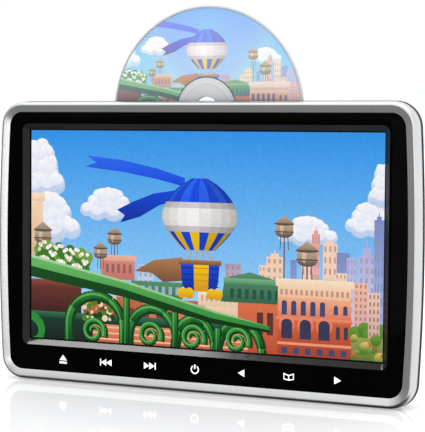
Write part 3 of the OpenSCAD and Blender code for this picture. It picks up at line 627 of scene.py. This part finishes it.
class Painting:
    """Flat shapes laid one over another. Each has a tone at its top, and may have another at its foot."""

    def __init__(self):
        self.shapes = []

    def area(self, points, top, foot=None):
        self.shapes.append((points, top, foot or top))

    def block(self, left, top, right, low, *tones):
        self.area([(left, low), (right, low), (right, top), (left, top)], *tones)

    def oval(self, across, down, wide, tall, *tones, steps=28):
        angles = [-2 * math.pi * i / steps for i in range(steps)]
        self.area([(across + wide * math.cos(a), down + tall * math.sin(a)) for a in angles], *tones)

    def round(self, across, down, radius, *tones):
        self.oval(across, down, radius / PICTURE_RATIO, radius, *tones)

    def stroke(self, points, widths, *tones):
        """A band along a path, its width given at both ends."""
        left, right = [], []
        last = len(points) - 1
        for i, (x, z) in enumerate(points):
            ahead, behind = points[min(i + 1, last)], points[max(i - 1, 0)]
            run = Vector(((ahead[0] - behind[0]) * PICTURE_RATIO, ahead[1] - behind[1])).normalized()
            half = (widths[0] + (widths[1] - widths[0]) * i / last) / 2
            left.append((x + run.y * half / PICTURE_RATIO, z - run.x * half))
            right.append((x - run.y * half / PICTURE_RATIO, z + run.x * half))
        self.area(left + right[::-1], *tones)

    def band(self, points, widths, *tones):
        """A long stroke laid in short lengths, so that it may bend right round."""
        steps, length = len(points) - 1, 4
        for i in range(0, steps, length):
            part = [widths[0] + (widths[1] - widths[0]) * min(k, steps) / steps for k in (i, i + length)]
            self.stroke(points[i:i + length + 1], part, *tones)

    def scroll(self, across, down, radius, turns, widths, tone, start, hand=1):
        """A spiral band that winds inwards."""
        points = []
        steps_per_turn = 26
        steps = int(steps_per_turn * turns)
        for i in range(steps + 1):
            a = start + hand * 2 * math.pi * turns * i / steps
            r = radius * (1 - 0.8 * i / steps)
            points.append((across + r * math.cos(a) / PICTURE_RATIO, down + r * math.sin(a)))
        self.band(points, widths, tone)

    def hoop(self, across, top, wide):
        """An arch of bent strip that stands on the picture's foot, with a curl inside it."""
        steps, rise, foot = 16, 0.14, 1.03
        strips = ((0.0, 0.056, RAIL_DARK), (-0.003, 0.036, RAIL, RAIL_DARK), (-0.007, 0.01, RAIL_LIGHT, RAIL))
        for shift, width, *tones in strips:
            arch = []
            for i in range(steps + 1):
                a = math.pi * i / steps
                arch.append((across + shift - wide * math.cos(a), top + rise * (1 - math.sin(a)) + shift))
            path = [(arch[0][0], foot)] + arch + [(arch[-1][0], foot)]
            self.band(path, (width, width * 0.8), *tones)
        curls = ((0.006, 0.955, (0.034, 0.018), RAIL_DARK), (0.009, 0.95, (0.02, 0.01), RAIL),
                 (0.011, 0.947, (0.006, 0.004), RAIL_LIGHT))
        for left, down, widths, tone in curls:
            self.scroll(across - left, down, 0.062, 1.6, widths, tone, 0.4, -1)

    def cloud(self, across, down, wide, tall, seed):
        """Rows of round heads, bright above and shaded below."""
        layers = ((CLOUD_SHADE, CLOUD_SHADE, 0.1, 1.0), (CLOUD_MID, CLOUD_SHADE, 0.0, 0.94),
                  (CLOUD, CLOUD_MID, -0.1, 0.74))
        size = (wide + tall / PICTURE_RATIO) / 2
        for top, low, drop, shrink in layers:
            for row, heads in enumerate((9, 7, 5)):
                for i in range(heads):
                    t = i / (heads - 1) * 2 - 1
                    sway = math.sin(i * 2.4 + row * 1.7 + seed)
                    radius = size * (0.4 + 0.08 * sway) * (1 - 0.35 * t * t) * shrink
                    x = across + t * wide * (0.68 - 0.18 * row)
                    y = down + tall * (0.4 - 0.4 * row + 0.1 * sway + drop)
                    self.oval(x, y, radius, radius * PICTURE_RATIO * 0.85, top, low)

    def windows(self, left, top, right, low, columns, rows, tone=WINDOW, arched=True, fill=0.5):
        wide, tall = (right - left) / columns, (low - top) / rows
        for i in range(columns):
            for j in range(rows):
                x, z = left + (i + 0.5) * wide, top + (j + 0.5) * tall
                half_w, half_t = wide * fill / 2, tall * fill / 1.6
                self.block(x - half_w, z - half_t, x + half_w, z + half_t, tone)
                if arched:
                    self.oval(x, z - half_t, half_w, half_w * PICTURE_RATIO * 0.8, tone, steps=10)

    def water_tower(self, across, down, size, pole):
        """A round tank with a pointed lid, on a pole and two legs."""
        wide = size / PICTURE_RATIO

        def at(right, low):
            return across + right * wide, down + low * size

        self.stroke([(across, down), (across, down + pole)], (size * 0.14, size * 0.14), TIN_DARK)
        for side in (-1, 1):
            foot = (across + side * 0.49 * wide, down + min(pole, size * 2.2))
            self.stroke([at(side * 0.35, 0), foot], (size * 0.1, size * 0.1), TIN_DARK)
        self.oval(*at(0, 0.4), wide, size * 0.5, TIN, TIN_DARK)
        self.block(*at(-1, -0.6), *at(1, 0.4), TIN_LIGHT, TIN)
        self.oval(*at(-0.3, -0.05), wide * 0.22, size * 0.62, (222, 202, 172), TIN_LIGHT)
        self.block(*at(-1.1, 0.2), *at(1.1, 0.34), TIN_DARK)
        self.oval(*at(0, -0.6), wide * 1.15, size * 0.2, TIN_DARK)
        lid = ((-1.1, -0.66), (1.1, -0.66), (0.5, -1.1), (0, -1.5), (-0.5, -1.1))
        self.area([at(*corner) for corner in lid], TIN_LIGHT, TIN)

    def tower(self, left, top, right, low, upper, lower, columns=3, rows=7, tip=0.0):
        self.block(left, top, right, low, upper, lower)
        middle = (left + right) / 2
        if tip:
            quarter = (right - left) / 4
            self.block(middle - quarter, top - tip * 0.5, middle + quarter, top, upper)
            self.stroke([(middle, top - tip), (middle, top)], (0.004, 0.006), upper)
        shade = tuple(c * 0.8 for c in lower)
        self.windows(left, top, right, low, columns, rows, shade, arched=False, fill=0.42)


def paint_sky(art):
    bands, bend = 12, 0.95
    for i in range(bands):
        tones = [tuple(a + (b - a) * (k / bands) ** bend for a, b in zip(SKY, HAZE)) for k in (i, i + 1)]
        art.block(0, i / bands, 1, (i + 1.02) / bands, *tones)
    clouds = [(0.02, 0.17, 0.085, 0.17, 0.4), (0.05, 0.4, 0.11, 0.13, 1.7), (0.235, 0.335, 0.095, 0.075, 2.6),
              (0.8, 0.43, 0.09, 0.06, 0.9), (0.965, 0.37, 0.075, 0.085, 3.2), (1.0, 0.22, 0.04, 0.12, 1.1)]
    for cloud in clouds:
        art.cloud(*cloud)


def paint_skyline(art):
    rose = ((232, 160, 150), (224, 190, 196))
    dusk = ((120, 138, 196), (168, 182, 222))
    sand = ((244, 208, 180), (232, 196, 186))
    lilac = ((178, 176, 216), (204, 200, 228))
    towers = [
        (0.67, 0.6, 0.695, sand, 0), (0.69, 0.56, 0.735, sand, 0.03), (0.755, 0.57, 0.772, dusk, 0),
        (0.785, 0.5, 0.815, sand, 0), (0.812, 0.45, 0.834, rose, 0.03), (0.842, 0.49, 0.88, sand, 0.02),
        (0.878, 0.53, 0.912, dusk, 0), (0.905, 0.55, 0.93, lilac, 0), (0.935, 0.54, 0.978, lilac, 0.07),
        (0.975, 0.38, 1.0, dusk, 0.03),
    ]
    for left, top, right, tones, tip in towers:
        art.tower(left, top, right, 0.84, *tones, tip=tip)
    art.tower(0.875, 0.62, 0.905, 0.84, *sand)
    art.tower(0.925, 0.66, 0.96, 0.86, (240, 186, 160), (214, 166, 160))
    art.tower(0.575, 0.6, 0.62, 0.7, (176, 150, 176), (196, 176, 196), rows=3)
    art.tower(0.325, 0.62, 0.37, 0.72, (176, 196, 224), (196, 206, 226), rows=3)


def paint_roofs(art):
    """Water towers and the far houses, down to the terrace under the railing."""
    for tower in ((0.255, 0.505, 0.035, 0.12), (0.738, 0.435, 0.042, 0.22), (0.8, 0.555, 0.048, 0.12)):
        art.water_tower(*tower)
    art.block(0.215, 0.6, 0.315, 0.7, (214, 136, 118), (196, 116, 104))
    art.block(0.21, 0.585, 0.32, 0.612, (236, 180, 160), (220, 160, 142))
    art.windows(0.225, 0.62, 0.31, 0.68, 5, 1, (150, 96, 100))
    art.block(0.305, 0.7, 0.455, 0.8, SLATE_GREEN, SLATE_DARK)
    art.windows(0.31, 0.71, 0.45, 0.77, 7, 1, (150, 176, 196), arched=False)
    art.block(0.16, 0.78, 0.6, 1.0, (190, 104, 72), (176, 84, 58))
    art.block(0.34, 0.8, 0.56, 0.88, (226, 140, 104), (204, 112, 84))
    art.windows(0.2, 0.83, 0.58, 0.98, 9, 2, (120, 62, 56))
    art.block(0.5, 0.735, 0.615, 0.8, CREAM, (226, 196, 166))
    art.windows(0.505, 0.745, 0.61, 0.785, 8, 1, (206, 166, 138))
    art.block(0.52, 0.8, 0.61, 0.9, (236, 206, 176), (214, 160, 130))


def paint_green_house(art):
    art.area([(0.565, 0.775), (0.575, 0.665), (0.645, 0.635), (0.735, 0.675), (0.735, 0.775)],
             SLATE_GREEN, SLATE_DARK)
    art.block(0.572, 0.665, 0.735, 0.69, (120, 176, 134), SLATE_GREEN)
    art.windows(0.585, 0.7, 0.73, 0.77, 7, 1, (40, 84, 66), arched=False)
    art.block(0.612, 0.775, 0.722, 1.0, (216, 110, 72), (186, 78, 54))
    art.windows(0.66, 0.8, 0.715, 0.93, 2, 1, (92, 52, 48), arched=False, fill=0.62)


def paint_corner_house(art):
    """Brick house on the right, with three arches and a cream cornice."""
    art.block(0.716, 0.655, 0.925, 0.69, CREAM, (240, 208, 178))
    art.block(0.722, 0.69, 0.918, 0.745, (240, 206, 176), PEACH)
    art.windows(0.725, 0.695, 0.915, 0.735, 14, 1, (196, 146, 120), arched=False)
    art.block(0.722, 0.74, 0.918, 0.84, (238, 170, 136), (218, 112, 84))
    art.windows(0.727, 0.75, 0.855, 0.83, 5, 1, WINDOW, fill=0.55)
    art.windows(0.865, 0.76, 0.915, 0.82, 2, 1, WINDOW, fill=0.45)
    art.block(0.722, 0.835, 0.918, 1.0, BRICK, BRICK_DARK)
    art.block(0.718, 0.828, 0.922, 0.845, (236, 148, 112), (206, 96, 68))
    for i in range(3):
        art.round(0.747 + 0.05 * i, 0.863, 0.04, (236, 138, 100), (214, 104, 74))
    art.windows(0.722, 0.845, 0.872, 0.935, 3, 1, (58, 56, 84), fill=0.6)
    art.windows(0.873, 0.85, 0.915, 0.93, 2, 1, (74, 58, 76), fill=0.5)
    art.block(0.722, 0.94, 0.918, 0.952, (238, 150, 112))
    art.windows(0.725, 0.955, 0.915, 1.0, 6, 1, WINDOW, arched=False)


def paint_garden(art):
    """Bushes and the nearest tower at the lower right, the wall and the nearest water towers at the left."""
    for i in range(9):
        art.round(0.93 + 0.012 * i, 0.885 + 0.02 * math.sin(i * 2.3), 0.035, (112, 150, 60), LEAF)
    art.tower(0.962, 0.7, 0.992, 1.0, (238, 196, 170), (190, 150, 150), 3, 9)
    art.block(0.918, 0.9, 1.0, 1.0, (150, 160, 84), (96, 116, 52))
    leaves = ((232, 186, 104), (214, 118, 66), (160, 172, 80), (120, 148, 62))
    for i in range(22):
        x, z = 0.926 + 0.076 * scatter(i), 0.905 + 0.09 * ((i * 0.37) % 1)
        art.round(x, z, 0.018 + 0.01 * math.sin(i * 1.7), leaves[i % 4], LEAF)
    art.block(0, 0.32, 0.036, 0.6, (246, 214, 180), (218, 176, 140))
    art.block(0, 0.3, 0.042, 0.34, (250, 228, 200), (232, 196, 160))
    art.water_tower(0.036, 0.505, 0.045, 0.06)
    art.water_tower(0.213, 0.575, 0.034, 0.08)


def paint_planter(art):
    """Flowers in a trough behind the railing, the wall below and the terrace seen between the hoops."""
    for i in range(46):
        share = i / 45
        z = 0.575 + 0.05 * share + 0.035 * math.sin(i * 1.9)
        tone = LEAF if i % 3 else (112, 160, 64)
        art.round(0.02 + 0.155 * share, z, 0.022 + 0.006 * math.sin(i * 3.1), tone)
    for i in range(70):
        x = 0.025 + 0.15 * scatter(i)
        z = 0.57 + 0.32 * (x - 0.02) + 0.04 * math.sin(i * 2.7)
        art.round(x, z, 0.009, WHITE if i % 2 else (232, 214, 196))
    art.block(0, 0.74, 0.155, 0.9, SOIL, (52, 28, 32))
    art.block(0, 0.715, 0.165, 0.75, (140, 76, 60), SOIL)
    art.block(0, 0.88, 0.64, 1.0, (32, 60, 52), (26, 38, 32))
    art.block(0, 0.87, 0.6, 0.9, (52, 112, 80), (30, 72, 54))
    art.block(0.19, 0.915, 0.64, 1.0, (226, 140, 104), (190, 96, 68))
    for i in range(3):
        art.block(0.19, 0.925 + 0.028 * i, 0.64, 0.933 + 0.028 * i, (246, 204, 164), (232, 170, 128))
    for i in range(40):
        tone = ((226, 216, 172), (78, 126, 44), (34, 66, 24))[i % 3]
        z = 0.84 + 0.05 * math.sin(i * 2.63)
        art.round(0.165 + 0.09 * scatter(i), z, 0.011 + 0.005 * math.sin(i * 1.9), tone)


def paint_railing(art):
    """Hoops, posts and the sloping handrail: its dark underside, its top and its bright crest."""
    for hoop in ((0.2, 0.782, 0.082), (0.368, 0.828, 0.07), (0.492, 0.862, 0.056), (0.618, 0.872, 0.063)):
        art.hoop(*hoop)
    for across, top in ((0.292, 0.775), (0.434, 0.84), (0.557, 0.9)):
        art.block(across - 0.01, top, across + 0.01, 1.0, RAIL_DARK)
        art.block(across - 0.009, top, across + 0.005, 1.0, RAIL, RAIL_DARK)
        art.block(across - 0.006, top, across - 0.003, 1.0, RAIL_LIGHT, RAIL)
    art.scroll(0.0, 0.99, 0.11, 0.5, (0.045, 0.03), RAIL, 4.2)
    crest = [(0, 0.6), (0.3, 0.708), (0.56, 0.825), (0.7, 0.875)]
    art.area([(0, 0.705)] + crest + [(0.7, 0.905), (0.54, 0.878), (0.28, 0.78)], (26, 84, 34), (18, 50, 24))
    art.area([(0, 0.655)] + crest + [(0.7, 0.893), (0.54, 0.855), (0.28, 0.742)], (112, 184, 104), RAIL)
    art.area([(0, 0.612)] + crest + [(0.555, 0.833), (0.29, 0.715)], (170, 214, 160), (130, 190, 130))


def envelope_swell(t):
    """The balloon's width at a share of its height, as a share of its widest."""
    swell = math.sin(math.pi * (t * 0.86 + 0.02)) ** 0.62 if t < 0.62 else 0.985 - 2.0 * (t - 0.6) ** 1.35
    return max(swell, 0.2)


def envelope_tone(gore, row):
    """Two blues above, white between grey seams, and blue and yellow stripes below."""
    if row < 4:
        return (44, 98, 236) if gore % 2 else BLUE
    if row in (4, 8):
        return SHADE_WHITE
    if row < 9:
        return WHITE
    return BLUE if gore % 2 else YELLOW


def paint_balloon(art):
    """A hot-air balloon with two long pennants, moored over the railing, and a cloth blown out behind."""
    art.area([(0.455, 0.58), (0.37, 0.6), (0.315, 0.655), (0.365, 0.66), (0.4, 0.7), (0.455, 0.69)],
             *LEATHER)
    art.area([(0.46, 0.255), (0.46, 0.215), (0.38, 0.173), (0.28, 0.137), (0.17, 0.118), (0.2, 0.15),
              (0.165, 0.17), (0.29, 0.195), (0.38, 0.223)], (50, 104, 238), BLUE)
    art.area([(0.46, 0.305), (0.46, 0.265), (0.37, 0.29), (0.31, 0.33), (0.262, 0.37), (0.285, 0.395),
              (0.272, 0.43), (0.33, 0.4), (0.385, 0.345)], BLUE, DEEP_BLUE)
    gores, rows = 10, 12
    middle, crown, wide, tall = 0.502, 0.215, 0.108, 0.33
    for i in range(gores):
        light = 1.06 - 0.3 * abs((i + 0.5) / gores - 0.42) * 2
        for j in range(rows):
            corners = []
            for side, down in ((i, j), (i, j + 1), (i + 1, j + 1), (i + 1, j)):
                t = down / rows
                turn = math.sin(math.pi * (side / gores - 0.5))
                corners.append((middle + wide * envelope_swell(t) * turn, crown + tall * t))
            drop = 1 - 0.012 * j
            art.area(corners, tuple(c * light * drop for c in envelope_tone(i, j)))
    for x0, x1 in ((0.482, 0.466), (0.497, 0.492), (0.51, 0.52), (0.523, 0.548)):
        art.stroke([(x0, 0.545), (x1, 0.612)], (0.006, 0.006), OCHRE)
    art.area([(0.449, 0.6), (0.561, 0.6), (0.556, 0.7), (0.545, 0.735), (0.465, 0.735), (0.454, 0.7)],
             BLUE, DEEP_BLUE)
    art.area([(0.487, 0.6), (0.53, 0.6), (0.528, 0.735), (0.489, 0.735)], YELLOW, OCHRE)
    for i in range(4):
        top = 0.625 + 0.028 * i
        art.block(0.452, top, 0.558, top + 0.006, DEEP_BLUE)
        art.block(0.487, top, 0.53, top + 0.006, OCHRE)
    art.block(0.444, 0.59, 0.566, 0.612, *LEATHER)
    for x in (0.455, 0.475, 0.538, 0.556):
        art.oval(x, 0.745, 0.014, 0.026, YELLOW, OCHRE, steps=18)


def paint_lawn(art):
    """Ground under the picture, seen only on the lower half of the disc's label."""
    art.block(-0.1, 0.98, 1.1, 1.9, (44, 104, 66), (22, 52, 92))
    for i in range(7):
        down = 1.06 + 0.1 * i
        tone = tuple(90 - 8 * i + c for c in (0, 60, 30))
        art.stroke([(x / 10, down + 0.02 * math.sin(x * 1.3 + i)) for x in range(12)], (0.02, 0.008), tone)


def paint_picture():
    art = Painting()
    for paint in (paint_lawn, paint_sky, paint_skyline, paint_roofs, paint_green_house, paint_corner_house,
                  paint_garden, paint_planter, paint_railing, paint_balloon):
        paint(art)
    return art.shapes


def clip(points, window):
    """Keep the part of an outline that lies inside a convex window, both running anticlockwise."""
    for k in range(len(window)):
        ax, ay = window[k - 1]
        bx, by = window[k]
        kept = []
        for i in range(len(points)):
            px, py = points[i - 1]
            qx, qy = points[i]
            p_in = (bx - ax) * (py - ay) - (by - ay) * (px - ax)
            q_in = (bx - ax) * (qy - ay) - (by - ay) * (qx - ax)
            if p_in * q_in < 0:
                t = p_in / (p_in - q_in)
                kept.append((px + (qx - px) * t, py + (qy - py) * t))
            if q_in >= 0:
                kept.append((qx, qy))
        points = kept
        if len(points) < 3:
            return []
    return points


def linear(channel):
    value = min(max(channel / 255, 0), 1)
    return value / 12.92 if value <= 0.04045 else ((value + 0.055) / 1.055) ** 2.4


def stack_layers(outlines):
    """The lowest layer for each outline that still lies over every earlier one it may cover."""
    boxes, layers = [], []
    for points in outlines:
        across, down = [p[0] for p in points], [p[1] for p in points]
        box = (min(across), max(across), min(down), max(down))
        under = [layers[i] for i, b in enumerate(boxes)
                 if b[0] < box[1] and box[0] < b[1] and b[2] < box[3] and box[2] < b[3]]
        layers.append(max(under, default=-1) + 1)
        boxes.append(box)
    return layers


def lay_picture(name, width, centre_z, windows, front_y, fade=0.0):
    """The picture as coloured mesh layers, cut to the windows given. Fade moves colours towards white."""
    height = width / PICTURE_RATIO
    shapes = paint_picture()
    layers = stack_layers([points for points, _, _ in shapes])
    verts, faces, tones = [], [], []
    for (points, top, bottom), order in zip(shapes, layers):
        y = front_y + PRINT_LAYERS * (1 - order / max(layers))
        placed = [((u - 0.5) * width, centre_z + (0.5 - v) * height) for u, v in points]
        turn = sum(a[0] * b[1] - b[0] * a[1] for a, b in zip(placed, placed[1:] + placed[:1]))
        if turn < 0:
            placed.reverse()
        low, high = min(z for _, z in placed), max(z for _, z in placed)
        for window in windows:
            part = clip(placed, window)
            if not part:
                continue
            base = len(verts)
            verts += [(x, y, z) for x, z in part]
            faces.append(tuple(range(base, base + len(part))))
            for _, z in part:
                t = (z - low) / max(high - low, 0.001)
                mixed = [b + (a - b) * t for a, b in zip(top, bottom)]
                tones.append([linear(c + (255 - c) * fade) for c in mixed] + [1])
    piece = new_object(name, verts, faces, smooth=False)
    layer = piece.data.color_attributes.new("tone", "FLOAT_COLOR", "POINT")
    for i, tone in enumerate(tones):
        layer.data[i].color = tone
    return piece


# ---- Screen and disc ----

def picture_shader(name, fleck, scale):
    """Shows the picture's colours with a faint painted grain."""
    shader = Shader(name)
    tone = shader.add("ShaderNodeVertexColor", layer_name="tone").outputs["Color"]
    shade = shader.tint(shader.noise(scale, 5, 0.65), (1 - fleck,) * 3, (1 + fleck,) * 3)
    return shader, shader.mix(1.0, tone, shade, blend_type="MULTIPLY")


def make_screen():
    corners = ((-1, -1), (1, -1), (1, 1), (-1, 1))
    window = [(x * PICTURE_W / 2, SCREEN_Z + z * PICTURE_H / 2) for x, z in corners]
    piece = lay_picture("screen_picture", PICTURE_W, SCREEN_Z, [window], GLASS_Y - PRINT_T)
    shader, tone = picture_shader("screen_light", 0.06, 420)
    shader.set(Base_Color=(0.002, 0.002, 0.002, 1), Specular_IOR_Level=0.05, Emission_Strength=1.0)
    shader.link(tone, shader.surface.inputs["Emission Color"])
    return coat(piece, shader.wear(((900,), 0.12, 0.2), ((1200, 2), 0.03, 0.002)))


def turned(name, profile, degrees=30):
    """Skin turned round the disc's centre from a profile of radius and y."""
    steps = 160
    angles = [2 * math.pi * i / steps for i in range(steps)]
    rings = [[(r * math.cos(a), y, DISC_Z + r * math.sin(a)) for a in angles] for r, y in profile]
    piece = sweep(name, rings)
    sharpen(piece, degrees)
    return piece


def make_disc():
    """Clear body with rounded edges, and a stacking ring on its back."""
    half, hole, edge = DISC_T / 2, HUB_HOLE_R, 0.25
    profile = [(hole, half - 0.1), (hole, 0.1 - half), (hole + 0.1, -half), (DISC_R - edge, -half),
               (DISC_R, edge - half), (DISC_R, half - edge), (DISC_R - edge, half),
               (17.6, half), (17.4, half + 0.12), (16.8, half + 0.12), (16.6, half), (hole + 0.1, half)]
    return turned("disc_body", profile)


def painted_rainbow_sheen(shader, silver, share):
    """A painted rainbow sheen: a colour that turns through pale rainbow fans round the disc's centre."""
    placing = {"Location": (0, DISC_Z * MM, 0), "Rotation": (math.radians(90), 0, 0)}
    mapping = shader.add("ShaderNodeMapping", placing, vector_type="POINT")
    shader.link(shader.place, mapping.inputs["Vector"])
    fan = shader.add("ShaderNodeTexGradient", gradient_type="RADIAL")
    shader.link(mapping.outputs["Vector"], fan.inputs["Vector"])
    wave = shader.add("ShaderNodeMath", {1: 0.25}, operation="PINGPONG")
    shader.link(fan.outputs["Fac"], wave.inputs[0])
    ramp = shader.add("ShaderNodeValToRGB")
    hues = ((0.2, 0.3, 0.9), (0.1, 0.8, 0.9), (0.2, 0.9, 0.3), (0.95, 0.9, 0.2), (1, 0.4, 0.2),
            (0.8, 0.2, 0.7))
    stops = ramp.color_ramp.elements
    while len(stops) < len(hues) + 2:
        stops.new(0.5)
    stops[0].position, stops[0].color = 0, (*silver, 1)
    stops[-1].position, stops[-1].color = 0.25, (*silver, 1)
    for i, hue in enumerate(hues):
        stops[i + 1].position = 0.05 + 0.025 * i
        stops[i + 1].color = (*[a + (b - a) * share for a, b in zip(silver, hue)], 1)
    shader.link(wave.outputs["Value"], ramp.inputs["Fac"])
    return ramp.outputs["Color"]


def make_data_side():
    """Recorded side of the disc, with a painted rainbow sheen in fans, and fine grooves."""
    back = DISC_T / 2
    piece = turned("disc_data_side", [(21, back), (21.2, back + 0.03), (58, back + 0.03), (58.2, back)])
    shader = Shader("data_side")
    # The rainbow fans are a painted sheen in the metal's colour
    shader.colour(painted_rainbow_sheen(shader, (0.62, 0.6, 0.66), 0.45))
    shader.set(Metallic=1.0, Anisotropic=0.6)
    return coat(piece, shader.wear(((120, 6), 0.1, 0.2), ((2600, 3), 0.04, 0.002)))


def make_label():
    """Printed label on the disc's front, cut into sectors between the hub and the rim."""
    steps = 96
    windows = []
    for i in range(steps):
        a, b = 2 * math.pi * i / steps, 2 * math.pi * (i + 1) / steps
        corners = ((LABEL_IN, a), (LABEL_OUT, a), (LABEL_OUT, b), (LABEL_IN, b))
        windows.append([(r * math.cos(t), DISC_Z + r * math.sin(t)) for r, t in corners])
    width = 2.04 * DISC_R
    middle = DISC_Z + DISC_R - width / PICTURE_RATIO / 2 + 1
    piece = lay_picture("disc_label", width, middle, windows, -DISC_T / 2 - PRINT_T, fade=0.27)
    shader, tone = picture_shader("label_print", 0.03, 500)
    # A painted rainbow sheen mixed over the print
    shader.colour(shader.mix(0.16, tone, painted_rainbow_sheen(shader, (0.8, 0.8, 0.82), 0.55)))
    return coat(piece, shader.wear(((300,), 0.16, 0.26), ((1500, 2), 0.05, 0.003)))


def make_hub(materials):
    """Clear hub with its stacking ring, a dark line round it and a bright line at the label's rim."""
    front = -DISC_T / 2
    step, ring, line = front - 0.2, front - 0.45, front - 0.26
    parts = [
        ("disc_hub_band", "disc_clear", [
            (HUB_HOLE_R + 0.3, front), (HUB_HOLE_R + 0.5, step), (14.4, step), (14.8, ring), (15.8, ring),
            (16.2, step), (LABEL_IN - 0.5, step), (LABEL_IN - 0.5, front)]),
        ("disc_hub_line", "deck_grey", [
            (LABEL_IN - 0.5, front), (LABEL_IN - 0.45, line), (LABEL_IN, line), (LABEL_IN + 0.05, front)]),
        ("disc_rim_line", "aluminium_fin", [
            (LABEL_OUT - 0.1, front), (LABEL_OUT, line), (LABEL_OUT + 0.6, line), (LABEL_OUT + 0.7, front)]),
    ]
    return [(coat(turned(name, profile, 20), materials[slot]), slot) for name, slot, profile in parts]


# ---- Stage: the floor's size in millimetres, everything else in metres ----

FLOOR_HALF = 12000
FLOOR_GLOW = 0.3
# Share of mirror in the middle of the floor, and the distances between which it fades away
POLISH = 0.24
POLISH_REACH = (0.1, 0.55)
# Directions in which the world is white: up and back, straight up, and right
WORLD_SIDES = ((0.1, 0.9, 1), (0, 0, 2.6), (1.8, 0.3, 0))
# Ramps of the world's brightness: where each starts and stops, and its values at both ends
SIDES_RAMP = (0.15, 0.65, 0.24, 1)
GROUND_RAMP = (-0.8, -0.5, 0.1, 1)
ZENITH_RAMP = (0.6, 0.9, 1, 1.4)
LEFT_RAMP = (-0.88, -0.62, 0.36, 1.4)


def make_stage():
    """White floor, polished round the middle so the player mirrors faintly in it."""
    corners = [(x * FLOOR_HALF, y * FLOOR_HALF, 0) for x, y in ((-1, -1), (1, -1), (1, 1), (-1, 1))]
    floor = new_object("floor", corners, [(0, 1, 2, 3)])
    shader = Shader("floor")
    shader.set(Base_Color=(0.9, 0.9, 0.9, 1), Roughness=1.0, Specular_IOR_Level=0.0)
    shader.set(Emission_Color=(1, 1, 1, 1), Emission_Strength=FLOOR_GLOW)
    polish = shader.add("ShaderNodeBsdfGlossy", {"Roughness": 0.04, "Color": (1, 1, 1, 1)})
    away = shader.add("ShaderNodeVectorMath", operation="LENGTH")
    shader.link(shader.place, away.inputs[0])
    both = shader.add("ShaderNodeMixShader")
    shader.link(shader.between(away.outputs["Value"], POLISH, 0, *POLISH_REACH), both.inputs["Fac"])
    shader.link(shader.surface.outputs["BSDF"], both.inputs[1])
    shader.link(polish.outputs["BSDF"], both.inputs[2])
    shader.link(both.outputs["Shader"], shader.tree.nodes["Material Output"].inputs["Surface"])
    coat(floor, shader.material)
    floor.visible_glossy = False
    floor.visible_shadow = False


def make_world():
    """A white studio to look at, whose light is dim from the front, the left and below."""
    world = bpy.data.worlds.new("studio")
    bpy.context.scene.world = world
    world.use_nodes = True
    nodes = Nodes(world.node_tree)
    place = nodes.add("ShaderNodeTexCoord").outputs["Generated"]

    def towards(side):
        node = nodes.add("ShaderNodeVectorMath", {1: side}, operation="DOT_PRODUCT")
        nodes.link(place, node.inputs[0])
        return node.outputs["Value"]

    def ramp(source, start, stop, low, high):
        return nodes.between(source, low, high, start, stop, interpolation_type="SMOOTHSTEP")

    back, top, right = (towards(side) for side in WORLD_SIDES)
    brightest = nodes.maths("MAXIMUM", nodes.maths("MAXIMUM", back, top), right)
    height = towards((0, 0, 1))
    lit = nodes.maths("MULTIPLY", ramp(brightest, *SIDES_RAMP), ramp(height, *GROUND_RAMP))
    lit = nodes.maths("MULTIPLY", lit, ramp(height, *ZENITH_RAMP))
    lit = nodes.maths("MINIMUM", lit, ramp(towards((1, 0, 0)), *LEFT_RAMP))
    path = nodes.add("ShaderNodeLightPath")
    background = nodes.tree.nodes["Background"]
    nodes.link(nodes.maths("MAXIMUM", lit, path.outputs["Is Camera Ray"]), background.inputs["Strength"])
    background.inputs["Color"].default_value = (1, 1, 1, 1)


def area_light(name, place, target, size, power):
    data = bpy.data.lights.new(name, "AREA")
    data.shape = "RECTANGLE"
    data.size, data.size_y = size
    data.energy = power
    light = into_scene(name, data)
    light.location = place
    light.rotation_euler = (Vector(target) - Vector(place)).to_track_quat("-Z", "Y").to_euler()
    return light


def make_lights(surround):
    """A broad front light, and a lamp overhead that only the screen's surround catches."""
    top = area_light("top_light", (-0.628, -0.165, 0.95), (-0.628, -0.165, 0), (0.445, 0.57), 16.7)
    top.visible_diffuse = False
    lit_only = bpy.data.collections.new("lit_by_top_light")
    lit_only.objects.link(surround)
    top.light_linking.receiver_collection = lit_only
    area_light("front_light", (0.125, -3.2, 0.2), (0.125, 0, 0.2), (1.75, 1.2), 9)


make_camera()
materials = make_materials()
dress_cad_nodes(materials)
ring = coat(make_silver_ring(), materials["satin_silver"])
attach(ring, "housing")
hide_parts("silver_frame")
panel = coat(make_face_panel(), materials["gloss_black"])
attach(panel, "housing")
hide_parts("front_bezel")
surround = coat(make_surround(), materials["trim_black"])
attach(surround, "housing")
lip = coat(make_shell_lip(), materials["black_shell"])
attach(lip, "housing")
icons = coat(make_icons(), materials["icon_white"])
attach(icons, "housing")
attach(make_screen(), "housing")
disc_body = coat(make_disc(), materials["disc_clear"])
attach(disc_body, "disc")
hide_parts("disc")
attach(make_label(), "disc")
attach(make_data_side(), "disc")
for piece, slot in make_hub(materials):
    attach(piece, "disc")
make_stage()
make_world()
make_lights(surround)
bpy.context.scene.view_settings.view_transform = "Standard"
